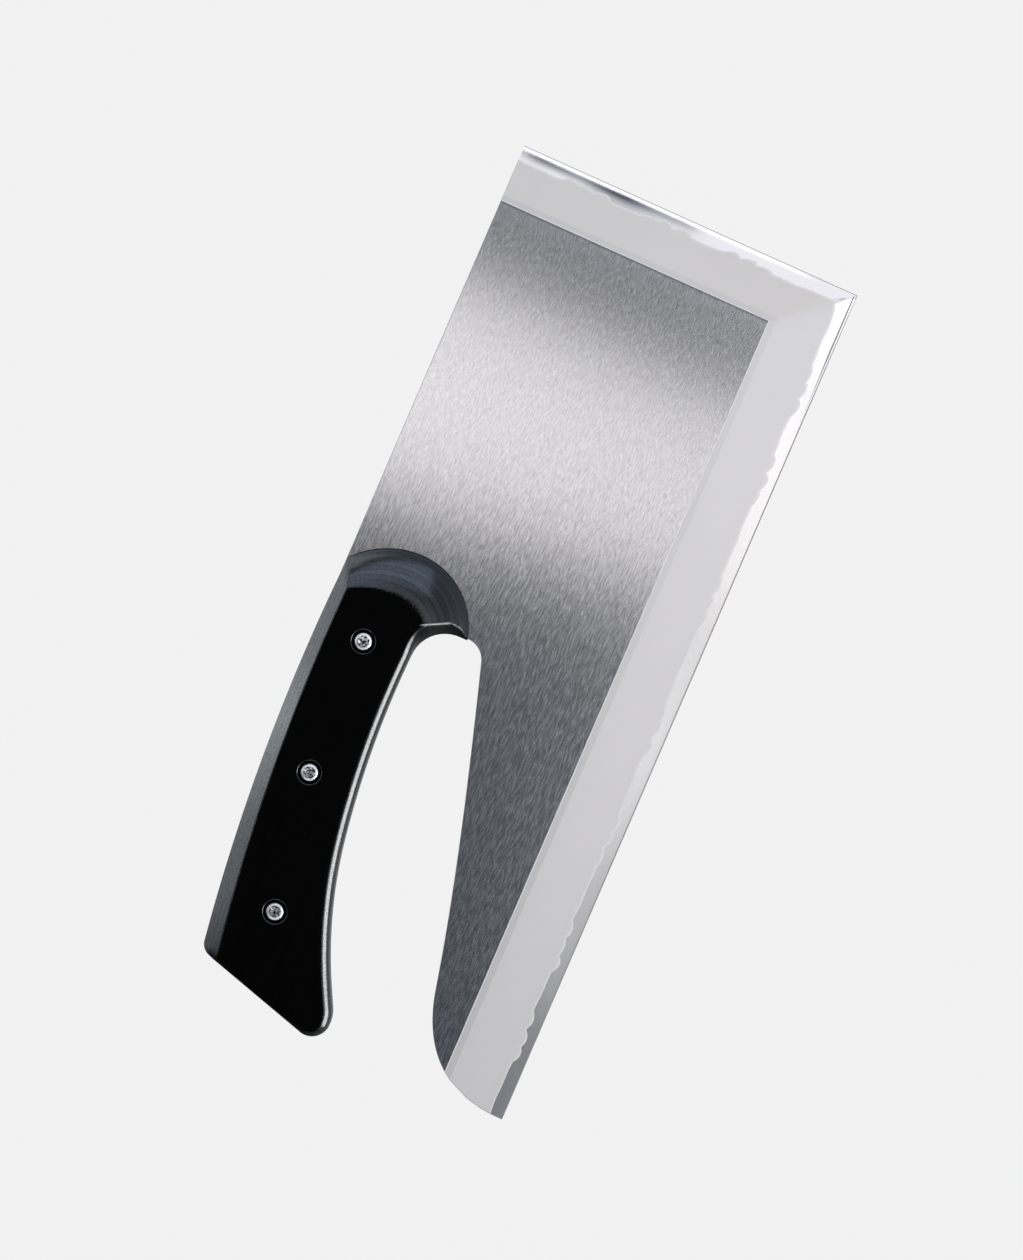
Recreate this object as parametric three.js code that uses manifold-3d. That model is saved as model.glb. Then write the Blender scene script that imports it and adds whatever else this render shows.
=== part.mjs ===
// Soba knife: a broad single-bevel blade whose tang runs through the handle, two laminated
// wood scales, and three screws that draw the scales together through sleeve nuts.
// Millimetres. x runs from the heel to the front end, y from the cutting edge to the spine,
// and z is 0 in the middle of the steel, with the bevelled side up. At the end the whole knife
// is lifted so that its back scale lies on z = 0, under the middle of its box.
import * as THREE from "three";
import { mergeVertices } from "three/addons/utils/BufferGeometryUtils.js";
import Module from "manifold-3d";

const wasm = await Module();
wasm.setup();
const degrees = THREE.MathUtils.degToRad;
const point = (x, y) => new THREE.Vector2(x, y);

// Blade
const edgeLength = 300;
const bladeHeight = 122;
const bladeThickness = 3;
const frontRake = degrees(0.9); // the front end leans out towards the spine
const edgeBevelWidth = 24;
const frontBevelWidth = 20;
const bevelLand = 0.7; // steel left where the bevels run out
const honedWidth = 1.2; // strip that thins the land to the cutting edge
const honedLand = 0.2;

// Heel, where the blade's lower outline sweeps up into the finger gap
const heelShoulder = point(32, 37.8);
const heelShoulderSlope = degrees(12.2);
const heelShoulderPull = 17; // length of the curve's handle at the shoulder
const heelTipPull = 25; // and at the tip, where the curve drops straight to the edge
const innerEdgePull = 35; // length of the handles of the long curve along the gap

// Finger gap, between the blade and the handle
const gapDepth = 142.5; // from the heel to the closed end of the gap
const throatRadius = 7.4; // round of the closed end on the blade's side
const throatDrop = 3; // straight stretch between that round and the handle's notch
const innerEdgeSlope = degrees(17.2); // the blade's edge of the gap, at the throat

// Handle outline, which both scales share. Its finger side is a chain of tangent arcs: the
// notch, the long grip, the swell towards the butt, a straight, the sole and the toe.
const spineCrown = 0.5; // the handle's long back rises this far over the blade's spine
const spineCrownX = 118;
const spineRadius = 700;
const handleDepth = 33; // from the crown of the back to the crown of the finger side
const notchRadius = 12.2;
const notchTurn = degrees(87.6);
const gripFall = degrees(9.3); // slope where the grip ends and the swell begins
const swellRadius = 160;
const swellFall = degrees(27.2); // slope where the swell ends
const swellStraight = 6.5;
const soleRadius = 11.4;
const toeRadius = 6.3;
const toeSetback = 0.4; // the toe stops this far short of the heel's tip
const buttLean = degrees(16.7);
const buttRadius = 4.5;
const tangInset = 0.5; // the scales stand proud of the tang all round

// Scales
const scaleThickness = 10;
const gripRound = { width: 4, height: 4.2, power: 2 }; // finger side
const notchRound = { width: 5, height: scaleThickness, power: 1.2 }; // beside the beak
const buttRound = { width: 1.2, height: 1.2, power: 2 };
const facetWall = 2; // upright strip left under the facet along the back
const facetFrontWidth = 4;
const facetRearWidth = 5.6;

// Nose of the scales, a rounded slope that runs down onto the blade
const noseReach = 20.2; // from the closed end of the gap to the foot of the slope
const noseFootDrop = 23.5; // its foremost point, below the crown of the back
const noseLowerRadius = 25.5;
const noseUpperRadius = 30;
const noseSlopeLength = 16.2;
const noseBrowDrop = 19.3; // the brow where the slope meets the flat face, below the crown
const noseBrowRadius = 28;
const noseBrowTurn = 0.62; // the brow turns this much as its foot turns by 1
const noseBrowLag = degrees(8); // and starts this far behind it
const noseFootAngle = degrees(50); // steepness of the slope at its foot
const noseBrowAngle = degrees(14.5); // and at its brow

// Screws and sleeve nuts
const noseScrewBehindGap = 14; // from the closed end of the gap
const rearScrewFromHeel = 34.2;
const noseScrewBelowCrown = 16.8;
const middleScrewBelowCrown = 17.6;
const rearScrewBelowCrown = 25.4;
const shankDiameter = 3;
const headDiameter = 6;
const headHeight = 2.2;
const headEdge = 0.5; // rounding of the head's rim
const crossLength = 3.4;
const crossWidth = 0.8;
const crossDepth = 1.2;
const headClearance = 1; // round a head in its counterbore
const headSink = 0.8; // how far a head lies below the face of the scale
const sleeveWall = 0.45;
const sleeveReach = 3.5; // how far the sleeve goes into the front scale
const sleeveFloor = 1; // solid end of the sleeve above its head
const slotWidth = 0.9;
const slotDepth = 0.9;
const holeClearance = 0.2; // round a sleeve or shank in the wood and in the tang
const threadClearance = 0.15;
const endClearance = 0.5; // past the end of a sleeve or shank

// Places that follow from the sizes above
const handleTop = bladeHeight + spineCrown;
const frontReach = edgeLength + bladeHeight * Math.tan(frontRake);
const tangFace = bladeThickness / 2;
const handleFace = tangFace + scaleThickness;
const counterboreDepth = headHeight + headSink;
const headSeat = handleFace - counterboreDepth;
const sleeveDiameter = shankDiameter + 2 * (threadClearance + sleeveWall);
const noseX = gapDepth + noseReach;
const noseScrewX = gapDepth - noseScrewBehindGap;
const middleScrewX = (noseScrewX + rearScrewFromHeel) / 2;
const screwPlaces = [
  { name: "nose", x: noseScrewX, y: handleTop - noseScrewBelowCrown },
  { name: "middle", x: middleScrewX, y: handleTop - middleScrewBelowCrown },
  { name: "rear", x: rearScrewFromHeel, y: handleTop - rearScrewBelowCrown },
];

// How finely curves are divided, and how far apart points must be to count as two
const roundSteps = 32;
const noseSweepSteps = 20;
const noseSweepStart = degrees(-105); // past the beak
const noseSweepEnd = degrees(85); // past the back
const cutMargin = 2; // how far a cutting solid runs past what it cuts
const weldDistance = 1e-5;
const leastStep = 1e-3;

// Solids

function solid(geometry) {
  const bare = geometry.clone();
  bare.deleteAttribute("normal");
  bare.deleteAttribute("uv");
  const merged = mergeVertices(bare, weldDistance);
  const vertProperties = new Float32Array(merged.attributes.position.array);
  const triVerts = new Uint32Array(merged.index.array);
  return new wasm.Manifold(new wasm.Mesh({ numProp: 3, vertProperties, triVerts }));
}

function surface(manifold) {
  const mesh = manifold.getMesh();
  const geometry = new THREE.BufferGeometry();
  geometry.setAttribute("position", new THREE.BufferAttribute(mesh.vertProperties, 3));
  geometry.setIndex(new THREE.BufferAttribute(mesh.triVerts, 1));
  geometry.computeVertexNormals();
  return geometry;
}

function turnedInsideOut(geometry) {
  const index = geometry.index;
  for (let i = 0; i < index.count; i += 3) {
    const second = index.getX(i + 1);
    index.setX(i + 1, index.getX(i + 2));
    index.setX(i + 2, second);
  }
  return geometry;
}

// A closed skin over rings of points that have equal counts. The end caps are filled flat:
// flat() gives each ring as a 2-D outline, which runs anticlockwise as seen from the last ring.
function loft(rings, flat) {
  const count = rings[0].length;
  const index = [];
  for (let r = 0; r + 1 < rings.length; r += 1) {
    for (let i = 0; i < count; i += 1) {
      const next = (i + 1) % count;
      const low = r * count;
      const high = low + count;
      index.push(low + i, low + next, high + next, low + i, high + next, high + i);
    }
  }
  const last = (rings.length - 1) * count;
  for (const [a, b, c] of THREE.ShapeUtils.triangulateShape(rings[0].map(flat), [])) {
    index.push(a, c, b);
  }
  for (const [a, b, c] of THREE.ShapeUtils.triangulateShape(rings.at(-1).map(flat), [])) {
    index.push(last + a, last + b, last + c);
  }
  const geometry = new THREE.BufferGeometry().setFromPoints(rings.flat());
  geometry.setIndex(index);
  return geometry;
}

const fromAbove = (p) => point(p.x, p.y);
const fromFront = (p) => point(p.y, p.z);
const lifted = (outline, z) => outline.map((p) => new THREE.Vector3(p.x, p.y, z));

function plate(outline, low, high) {
  return solid(loft([lifted(outline, low), lifted(outline, high)], fromAbove));
}

// Round bar along z between two heights.
function bar(x, y, diameter, low, high) {
  const geometry = new THREE.CylinderGeometry(diameter / 2, diameter / 2, high - low, roundSteps);
  geometry.rotateX(Math.PI / 2).translate(x, y, (low + high) / 2);
  return solid(geometry);
}

function box(x, y, z, width, depth, height) {
  return solid(new THREE.BoxGeometry(width, depth, height).translate(x, y, z));
}

// Outlines

const angleOf = (from, to) => Math.atan2(to.y - from.y, to.x - from.x);
const onCircle = (centre, radius, angle) =>
  point(centre.x + radius * Math.cos(angle), centre.y + radius * Math.sin(angle));

// The further crossing of a circle by a line that starts at p and runs along direction.
function crossing(p, direction, centre, radius) {
  const toStart = p.clone().sub(centre);
  const along = toStart.dot(direction);
  const reach = Math.sqrt(along * along - toStart.lengthSq() + radius * radius);
  return p.clone().addScaledVector(direction, reach - along);
}

// Arcs that follow one another without a corner. A positive turn is to the left. side is 1
// where the handle lies inside the arc's circle and -1 where it lies outside.
function tangentArcs(start, startHeading, moves) {
  const arcs = [];
  let at = start;
  let heading = startHeading;
  for (const { name, radius, turn, straight, steps } of moves) {
    if (straight) {
      at = onCircle(at, straight, heading);
      continue;
    }
    const side = -Math.sign(turn);
    const centre = onCircle(at, radius, heading - (side * Math.PI) / 2);
    const from = heading + (side * Math.PI) / 2;
    arcs.push({ name, centre, radius, from, to: from + turn, side, steps });
    at = onCircle(centre, radius, from + turn);
    heading += turn;
  }
  return arcs;
}

// The grip's radius takes up the length that the other arcs leave of the gap's depth.
const gripRise = Math.PI / 2 - notchTurn;
const notchLength = notchRadius * (1 - Math.cos(notchTurn));
const swellLength = swellRadius * (Math.sin(swellFall) - Math.sin(gripFall));
const soleLength = swellStraight * Math.cos(swellFall) + soleRadius * Math.sin(swellFall);
const gripLength = gapDepth - toeSetback - toeRadius - notchLength - swellLength - soleLength;
const gripRadius = gripLength / (Math.sin(gripRise) + Math.sin(gripFall));
const crownRise = notchRadius * Math.sin(notchTurn) + gripRadius * (1 - Math.cos(gripRise));
const notchHeight = handleTop - handleDepth - crownRise;

const fingerSide = tangentArcs(point(gapDepth, notchHeight), Math.PI / 2, [
  { name: "notch", radius: notchRadius, turn: notchTurn, steps: 10 },
  { name: "grip", radius: gripRadius, turn: gripRise + gripFall, steps: 12 },
  { name: "swell", radius: swellRadius, turn: swellFall - gripFall, steps: 5 },
  { straight: swellStraight },
  { name: "sole", radius: soleRadius, turn: -swellFall, steps: 4 },
  { name: "toe", radius: toeRadius, turn: -Math.PI / 2 - buttLean, steps: 8 },
]);

const spineCentre = point(spineCrownX, handleTop - spineRadius);
const toe = fingerSide.at(-1);
const buttAlong = point(Math.sin(buttLean), Math.cos(buttLean));
const buttInward = point(Math.cos(buttLean), -Math.sin(buttLean));
const besideButt = toe.centre.clone().addScaledVector(buttInward, buttRadius - toeRadius);
const buttCentre = crossing(besideButt, buttAlong, spineCentre, spineRadius - buttRadius);
const buttTop = angleOf(spineCentre, buttCentre);
const buttOutward = Math.PI - buttLean;
const buttCorner = {
  name: "butt", centre: buttCentre, radius: buttRadius, from: buttOutward, to: buttTop, side: 1, steps: 5,
};

// The outline from the back, at startX, round the butt and the toe to the closed end of the
// gap, drawn in by inset all round. Each place has the direction out of the handle, and its
// share of the way along its own arc.
function handleRuns(inset, startX) {
  const backStart = Math.acos((startX - spineCentre.x) / (spineRadius - inset));
  const back = {
    name: "back", centre: spineCentre, radius: spineRadius, from: buttTop, to: backStart, side: 1, steps: 14,
  };
  const places = [];
  for (const { name, centre, radius, from, to, side, steps } of [...fingerSide, buttCorner, back]) {
    for (let i = 0; i <= steps; i += 1) {
      const share = i / steps;
      const angle = from + (to - from) * share;
      const out = onCircle(point(0, 0), side, angle);
      const at = onCircle(centre, radius - side * inset, angle);
      const moved = places.length === 0 || at.distanceTo(places.at(-1).at) > leastStep;
      if (moved) places.push({ name, share, out, at });
    }
  }
  return places.reverse();
}

function bezier(a, b, c, d, steps) {
  return new THREE.CubicBezierCurve(a, b, c, d).getPoints(steps);
}

function bladeOutline() {
  const gapX = gapDepth + tangInset;
  const throatCentre = point(gapX - throatRadius, notchHeight - throatDrop);
  const throatTurn = innerEdgeSlope - Math.PI / 2;
  const throatSteps = 8;
  const throat = [];
  for (let i = 0; i <= throatSteps; i += 1) {
    throat.push(onCircle(throatCentre, throatRadius, (throatTurn * i) / throatSteps));
  }
  const innerStart = throat.at(-1);
  const towardsHeel = point(-Math.cos(innerEdgeSlope), -Math.sin(innerEdgeSlope));
  const fromHeel = point(Math.cos(heelShoulderSlope), Math.sin(heelShoulderSlope));
  const innerEdge = bezier(
    innerStart,
    innerStart.clone().addScaledVector(towardsHeel, innerEdgePull),
    heelShoulder.clone().addScaledVector(fromHeel, innerEdgePull),
    heelShoulder,
    8,
  );
  const heelTip = point(0, 0);
  const heel = bezier(
    heelShoulder,
    heelShoulder.clone().addScaledVector(fromHeel, -heelShoulderPull),
    point(0, heelTipPull),
    heelTip,
    14,
  );
  const crossHeight = bladeHeight - spineCentre.y;
  const spineEndX = spineCentre.x + Math.sqrt((spineRadius - tangInset) ** 2 - crossHeight ** 2);
  return [
    point(edgeLength, 0),
    point(frontReach, bladeHeight),
    ...handleRuns(tangInset, spineEndX).map((place) => place.at),
    ...throat,
    ...innerEdge.slice(1),
    ...heel.slice(1),
  ];
}

// Blade: the full plate, ground on its upper side only, with three holes for the sleeves.
// A bevel is cut by a long wedge whose section is drawn with its thin end at 0 and its
// thick end at the bevel's width.
function wedge(thinLand, thickLand, width, length) {
  const fall = (thickLand - thinLand) / width;
  const heightAt = (y) => -tangFace + thinLand + fall * y;
  const top = tangFace + cutMargin;
  const section = [
    point(-cutMargin, heightAt(-cutMargin)),
    point(width + cutMargin, heightAt(width + cutMargin)),
    point(width + cutMargin, top),
    point(-cutMargin, top),
  ];
  const rings = [-length, length].map((x) => section.map((p) => new THREE.Vector3(x, p.x, p.y)));
  return loft(rings, fromFront);
}

function makeBlade() {
  let blade = plate(bladeOutline(), -tangFace, tangFace);
  blade = blade.subtract(solid(wedge(bevelLand, bladeThickness, edgeBevelWidth, 2 * edgeLength)));
  const honedTop = bevelLand + ((bladeThickness - bevelLand) * honedWidth) / edgeBevelWidth;
  blade = blade.subtract(solid(wedge(honedLand, honedTop, honedWidth, 2 * edgeLength)));
  const frontWedge = wedge(bevelLand, bladeThickness, frontBevelWidth, 2 * edgeLength);
  frontWedge.rotateZ(Math.PI / 2 - frontRake).translate(edgeLength, 0, 0);
  blade = blade.subtract(solid(frontWedge));
  for (const { x, y } of screwPlaces) {
    const hole = sleeveDiameter + 2 * holeClearance;
    blade = blade.subtract(bar(x, y, hole, -tangFace - cutMargin, tangFace + cutMargin));
  }
  return surface(blade);
}

// Scales: drawn with the tang face at z = 0 and the flat face at z = scaleThickness.

// How far a rounded side has drawn in at a height, on a rounding of that width and height.
// The power is 2 for an ellipse and nearer 1 for a flatter, slanting side.
function drawnIn(round, z) {
  const rise = Math.max(0, (z - scaleThickness + round.height) / round.height);
  return round.width * (1 - (1 - rise ** round.power) ** (1 / round.power));
}

function mixedRound(a, b, share) {
  const mix = (key) => a[key] + (b[key] - a[key]) * share;
  return { width: mix("width"), height: mix("height"), power: mix("power") };
}

function roundAt({ name, share }) {
  if (name === "notch") return mixedRound(notchRound, gripRound, share);
  if (name === "toe") return mixedRound(gripRound, buttRound, share);
  if (name === "butt") return mixedRound(buttRound, { ...buttRound, width: 0 }, share);
  return name === "back" || name === "corner" ? null : gripRound;
}

function scaleBody() {
  const frontX = noseX + cutMargin;
  const runs = handleRuns(0, frontX);
  const beakLow = handleTop - noseFootDrop - noseLowerRadius - cutMargin;
  const beak = { ...runs.at(-1), at: point(gapDepth, beakLow) };
  const corner = { name: "corner", at: point(frontX, beakLow) };
  const places = [...runs, beak, corner];
  const levels = [0, 0.1, 0.22, 0.36, 0.5, 0.63, 0.75, 0.85, 0.93, 0.98, 1]; // closer to the top
  const rings = levels.map((level) => {
    const z = scaleThickness * level;
    return places.map((place) => {
      const round = roundAt(place);
      const at = place.at.clone();
      if (round) at.addScaledVector(place.out, -drawnIn(round, z));
      return new THREE.Vector3(at.x, at.y, z);
    });
  });
  return solid(loft(rings, fromAbove));
}

// All that lies behind the slope of the nose. The slope is ruled from an arc at its foot to
// an arc at its brow, and bulges as a circular arc between them.
function behindNose() {
  const footY = handleTop - noseFootDrop;
  const brow = point(noseX - noseSlopeLength - noseBrowRadius, handleTop - noseBrowDrop);
  const footAt = (angle) => {
    const radius = angle < 0 ? noseLowerRadius : noseUpperRadius;
    return onCircle(point(noseX - radius, footY), radius, angle);
  };
  const browAt = (angle) => onCircle(brow, noseBrowRadius, noseBrowTurn * angle - noseBrowLag);
  const angles = [];
  for (let i = 0; i <= noseSweepSteps; i += 1) {
    angles.push(noseSweepStart + ((noseSweepEnd - noseSweepStart) * i) / noseSweepSteps);
  }
  const far = cutMargin - edgeLength;
  const back = [point(far, handleTop + edgeLength), point(far, footY - edgeLength)];
  const front = (share) => angles.map((angle) => footAt(angle).lerp(browAt(angle), share));
  const steps = 8;
  const rings = [lifted([...front(0), ...back], -cutMargin)];
  for (let i = 0; i <= steps; i += 1) {
    const slope = noseFootAngle + ((noseBrowAngle - noseFootAngle) * i) / steps;
    const run = Math.sin(noseFootAngle) - Math.sin(slope);
    const rise = Math.cos(slope) - Math.cos(noseFootAngle);
    const share = run / (Math.sin(noseFootAngle) - Math.sin(noseBrowAngle));
    const height = rise / (Math.cos(noseBrowAngle) - Math.cos(noseFootAngle));
    rings.push(lifted([...front(share), ...back], scaleThickness * height));
  }
  rings.push(lifted([...front(1), ...back], scaleThickness + cutMargin));
  return solid(loft(rings, fromAbove));
}

// What the flat facet along the handle's back takes off, as a wedge swept along the back.
function facetCut() {
  const rings = [];
  const steps = 12;
  const rearX = -2 * cutMargin;
  const frontX = noseX + 2 * cutMargin;
  for (let i = 0; i <= steps; i += 1) {
    const share = i / steps;
    const x = rearX + (frontX - rearX) * share;
    const width = facetRearWidth + (facetFrontWidth - facetRearWidth) * share;
    const steepness = (scaleThickness - facetWall) / width;
    const angle = Math.acos((x - spineCentre.x) / spineRadius);
    const at = (inset, z) => {
      const p = onCircle(spineCentre, spineRadius - inset, angle);
      return new THREE.Vector3(p.x, p.y, z);
    };
    const top = scaleThickness + cutMargin * steepness;
    const low = facetWall - cutMargin * steepness;
    rings.push([at(-cutMargin, low), at(-cutMargin, top), at(width + cutMargin, top)]);
  }
  return solid(loft(rings, fromFront));
}

const bareScale = scaleBody().intersect(behindNose()).subtract(facetCut());

function makeScale(sleeveDepth) {
  let scale = bareScale;
  const sleeveHole = sleeveDiameter + 2 * holeClearance;
  const shankHole = shankDiameter + 2 * holeClearance;
  const floor = scaleThickness - counterboreDepth;
  const outside = scaleThickness + cutMargin;
  for (const { x, y } of screwPlaces) {
    scale = scale.subtract(bar(x, y, headDiameter + 2 * headClearance, floor, outside));
    scale = scale.subtract(bar(x, y, shankHole, -cutMargin, outside));
    scale = scale.subtract(bar(x, y, sleeveHole, -cutMargin, sleeveDepth));
  }
  return scale;
}

function makeFrontScale() {
  return surface(makeScale(sleeveReach + endClearance)).translate(0, 0, tangFace);
}

function makeBackScale() {
  const geometry = surface(makeScale(scaleThickness)).translate(0, 0, tangFace);
  geometry.scale(1, 1, -1);
  turnedInsideOut(geometry).computeVertexNormals();
  return geometry;
}

// Fasteners: drawn round the z axis, with the seat of the head at z = 0.

function turned(profile) {
  const points = profile.map(([radius, height]) => point(radius, height));
  return solid(new THREE.LatheGeometry(points, roundSteps).rotateX(Math.PI / 2));
}

const shankLength = 2 * headSeat - sleeveFloor - endClearance;
const sleeveLength = headSeat + tangFace + sleeveReach;
const headRadius = headDiameter / 2;

function makeScrew() {
  let screw = turned([
    [0, -shankLength],
    [shankDiameter / 2, -shankLength],
    [shankDiameter / 2, 0],
    [headRadius, 0],
    [headRadius, headHeight - headEdge],
    [headRadius - headEdge, headHeight],
    [0, headHeight],
  ]);
  const crossTop = headHeight + cutMargin;
  const crossTall = crossDepth + cutMargin;
  const crossMiddle = crossTop - crossTall / 2;
  screw = screw.subtract(box(0, 0, crossMiddle, crossLength, crossWidth, crossTall));
  screw = screw.subtract(box(0, 0, crossMiddle, crossWidth, crossLength, crossTall));
  return surface(screw);
}

function makeSleeveNut() {
  const boreRadius = shankDiameter / 2 + threadClearance;
  let nut = turned([
    [0, -headHeight],
    [headRadius - headEdge, -headHeight],
    [headRadius, headEdge - headHeight],
    [headRadius, 0],
    [sleeveDiameter / 2, 0],
    [sleeveDiameter / 2, sleeveLength],
    [boreRadius, sleeveLength],
    [boreRadius, sleeveFloor],
    [0, sleeveFloor],
  ]);
  const slotTall = slotDepth + cutMargin;
  const slotMiddle = slotDepth - headHeight - slotTall / 2;
  nut = nut.subtract(box(0, 0, slotMiddle, headDiameter + cutMargin, slotWidth, slotTall));
  return surface(nut);
}

// Assembly

const steel = { color: 0xb4b7bb, roughness: 0.35, metalness: 1 };
const laminate = { color: 0x0c0c0e, roughness: 0.4, metalness: 0 };
const brightSteel = { color: 0x9aa0a8, roughness: 0.25, metalness: 1 };

function piece(name, geometry, finish) {
  const mesh = new THREE.Mesh(geometry, new THREE.MeshStandardMaterial(finish));
  mesh.name = name;
  return mesh;
}

const knife = new THREE.Group();
knife.add(piece("blade", makeBlade(), steel));
knife.add(piece("front_scale", makeFrontScale(), laminate));
knife.add(piece("back_scale", makeBackScale(), laminate));
for (const { name, x, y } of screwPlaces) {
  const screw = piece(`${name}_screw`, makeScrew(), brightSteel);
  screw.position.set(x, y, headSeat);
  const nut = piece(`${name}_sleeve_nut`, makeSleeveNut(), brightSteel);
  nut.position.set(x, y, -headSeat);
  knife.add(screw, nut);
}
knife.position.set(-frontReach / 2, -handleTop / 2, handleFace);

export default knife;
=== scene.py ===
import math

import bmesh
import bpy
import numpy as np
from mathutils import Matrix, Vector


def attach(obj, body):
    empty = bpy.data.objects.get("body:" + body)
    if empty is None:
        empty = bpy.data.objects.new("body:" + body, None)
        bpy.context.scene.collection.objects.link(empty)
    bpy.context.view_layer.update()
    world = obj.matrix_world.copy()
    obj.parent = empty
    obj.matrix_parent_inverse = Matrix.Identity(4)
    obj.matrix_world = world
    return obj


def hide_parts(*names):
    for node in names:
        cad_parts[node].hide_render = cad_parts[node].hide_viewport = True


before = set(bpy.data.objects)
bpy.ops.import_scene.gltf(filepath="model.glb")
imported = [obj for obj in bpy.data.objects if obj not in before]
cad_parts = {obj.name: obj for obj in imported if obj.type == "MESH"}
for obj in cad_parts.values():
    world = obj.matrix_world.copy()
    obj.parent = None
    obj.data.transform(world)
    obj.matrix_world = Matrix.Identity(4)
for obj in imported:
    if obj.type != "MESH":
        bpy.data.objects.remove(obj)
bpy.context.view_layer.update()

# Drawn in mm as the knife lies: x heel to front end, y edge to spine, z up from the middle
# of the steel. toRow moves that into the shared frame.
blade = {
    "edge": 300.0,
    "height": 122.0,
    "half": 1.5,  # half the steel's thickness
    "rake": math.radians(0.9),
    "edgeBevel": 24.0,
    "frontBevel": 20.0,
    "land": 0.7,
    "honedLand": 0.2,
    "frontLand": (0.4, 3.0),  # share of the honed drop left along the front end, and its fade
    "burr": (250.0, 280.0),  # x where a second fine line leaves the edge
    "heelLines": (0.4, 0.6, 0.62),  # ends of the outer line, the bright strip and the second line
    "burrLines": (0.22, 0.68, 1.0),  # the same past the burr
    "burrSwell": 0.2,
    "burrDip": 0.03,
    "burrZone": 1.0,
    "frontLines": (0.24, 0.7, 1.04),
    "mitreBlend": 4.2,
    "cornerSoft": 0.55,
    "ease": 0.2,  # broken corners
    "easeShare": 0.3,  # of the height, where the steel is thinner
    "backEase": 0.15,
    "bulge": 0.05,  # the polished strip is a little round
    "bulgeShare": 0.27,
    "shoulder": (32.0, 37.8),
    "shoulderSlope": math.radians(12.2),
    "shoulderPull": 17.0,
    "tipPull": 25.0,
    "innerPull": 35.0,
    "innerSlope": math.radians(17.2),
    "throatRadius": 7.4,
    "throatDrop": 3.0,
    "tangInset": 0.5,
    "hole": 2.3,  # radius, for the sleeve nuts
    "holeSteps": 48,
    "heelSteps": 240,
    "heelThin": 4,  # every fourth is kept past the bevel
    "heelClear": 0.2,
    "innerSteps": 60,
    "throatStep": 1.0,
    "tangStep": 1.2,
    "spineSteps": 40,
    "leastStep": 0.05,
    "sharpAngle": math.radians(32),
}
handle = {
    "gap": 142.5,
    "crown": 0.5,
    "crownX": 118.0,
    "backRadius": 700.0,
    "depth": 33.0,
    "notchRadius": 12.2,
    "notchTurn": math.radians(87.6),
    "gripFall": math.radians(9.3),
    "swellRadius": 160.0,
    "swellFall": math.radians(27.2),
    "straight": 6.5,
    "soleRadius": 11.4,
    "toeRadius": 6.3,
    "toeSetback": 0.4,
    "lean": math.radians(16.7),
    "buttRadius": 4.5,
    "noseScrew": (14.0, 16.8),  # back from the gap's end, and down from the top
    "rearScrew": (34.2, 25.4),  # from the heel's end, and down from the top
    "middleDrop": 17.6,
}
top = blade["height"] + handle["crown"]
reach = blade["edge"] + blade["height"] * math.tan(blade["rake"])
lift = 11.5  # back of the handle to the middle of the steel


def toRow(p):
    return ((p[0] - reach / 2) / 1000, (p[1] - top / 2) / 1000, (p[2] + lift) / 1000)


def drawnPlace(v):
    return (v.co.x * 1000 + reach / 2, v.co.y * 1000 + top / 2)


def direction(angle):
    return np.array([math.cos(angle), math.sin(angle)])


# Handle outline: runs of tangent arcs and straights. Each is (name, centre, radius, start,
# turn, side) or (name, from, to, inward).
def chainOfArcs(start, heading, moves):
    at = np.array(start)
    runs = []
    for name, size, turn in moves:
        if turn is None:
            end = at + size * direction(heading)
            runs.append((name, at, end, direction(heading - math.pi / 2)))
            at = end
            continue
        side = -math.copysign(1, turn)
        centre = at + size * direction(heading - side * math.pi / 2)
        begin = heading + side * math.pi / 2
        runs.append((name, centre, size, begin, turn, side))
        at = centre + size * direction(begin + turn)
        heading += turn
    return runs


def onRun(run, share, inset=0.0):
    if len(run) == 4:
        return run[1] + (run[2] - run[1]) * share + run[3] * inset
    _, centre, radius, begin, turn, side = run
    return centre + (radius - side * inset) * direction(begin + turn * share)


def runLength(run):
    if len(run) == 4:
        return float(np.linalg.norm(run[2] - run[1]))
    return abs(run[2] * run[4])


def handleOutline():
    h = handle
    rise = math.pi / 2 - h["notchTurn"]
    fall, steep = h["gripFall"], h["swellFall"]
    used = h["notchRadius"] * (1 - math.cos(h["notchTurn"]))
    used += h["swellRadius"] * (math.sin(steep) - math.sin(fall))
    used += h["straight"] * math.cos(steep) + h["soleRadius"] * math.sin(steep)
    gripLength = h["gap"] - h["toeSetback"] - h["toeRadius"] - used
    gripRadius = gripLength / (math.sin(rise) + math.sin(fall))
    crownRise = h["notchRadius"] * math.sin(h["notchTurn"]) + gripRadius * (1 - math.cos(rise))
    notchHeight = top - h["depth"] - crownRise
    finger = chainOfArcs((h["gap"], notchHeight), math.pi / 2, [
        ("notch", h["notchRadius"], h["notchTurn"]),
        ("grip", gripRadius, rise + fall),
        ("swell", h["swellRadius"], steep - fall),
        ("straight", h["straight"], None),
        ("sole", h["soleRadius"], -steep),
        ("toe", h["toeRadius"], -math.pi / 2 - h["lean"]),
    ])
    backCentre = np.array([h["crownX"], top - h["backRadius"]])
    along = np.array([math.sin(h["lean"]), math.cos(h["lean"])])
    inward = np.array([math.cos(h["lean"]), -math.sin(h["lean"])])
    beside = finger[-1][1] + inward * (h["buttRadius"] - h["toeRadius"])
    toStart = beside - backCentre
    ahead = toStart @ along
    room = ahead ** 2 - toStart @ toStart + (h["backRadius"] - h["buttRadius"]) ** 2
    cornerCentre = beside + along * (math.sqrt(room) - ahead)
    cornerFrom = math.pi - h["lean"]
    cornerTo = math.atan2(*(cornerCentre - backCentre)[::-1])
    corner = ("corner", cornerCentre, h["buttRadius"], cornerFrom, cornerTo - cornerFrom, 1)
    butt = ("butt", onRun(finger[-1], 1), onRun(corner, 0), inward)
    return finger, butt, corner, backCentre, cornerTo, notchHeight


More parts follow.
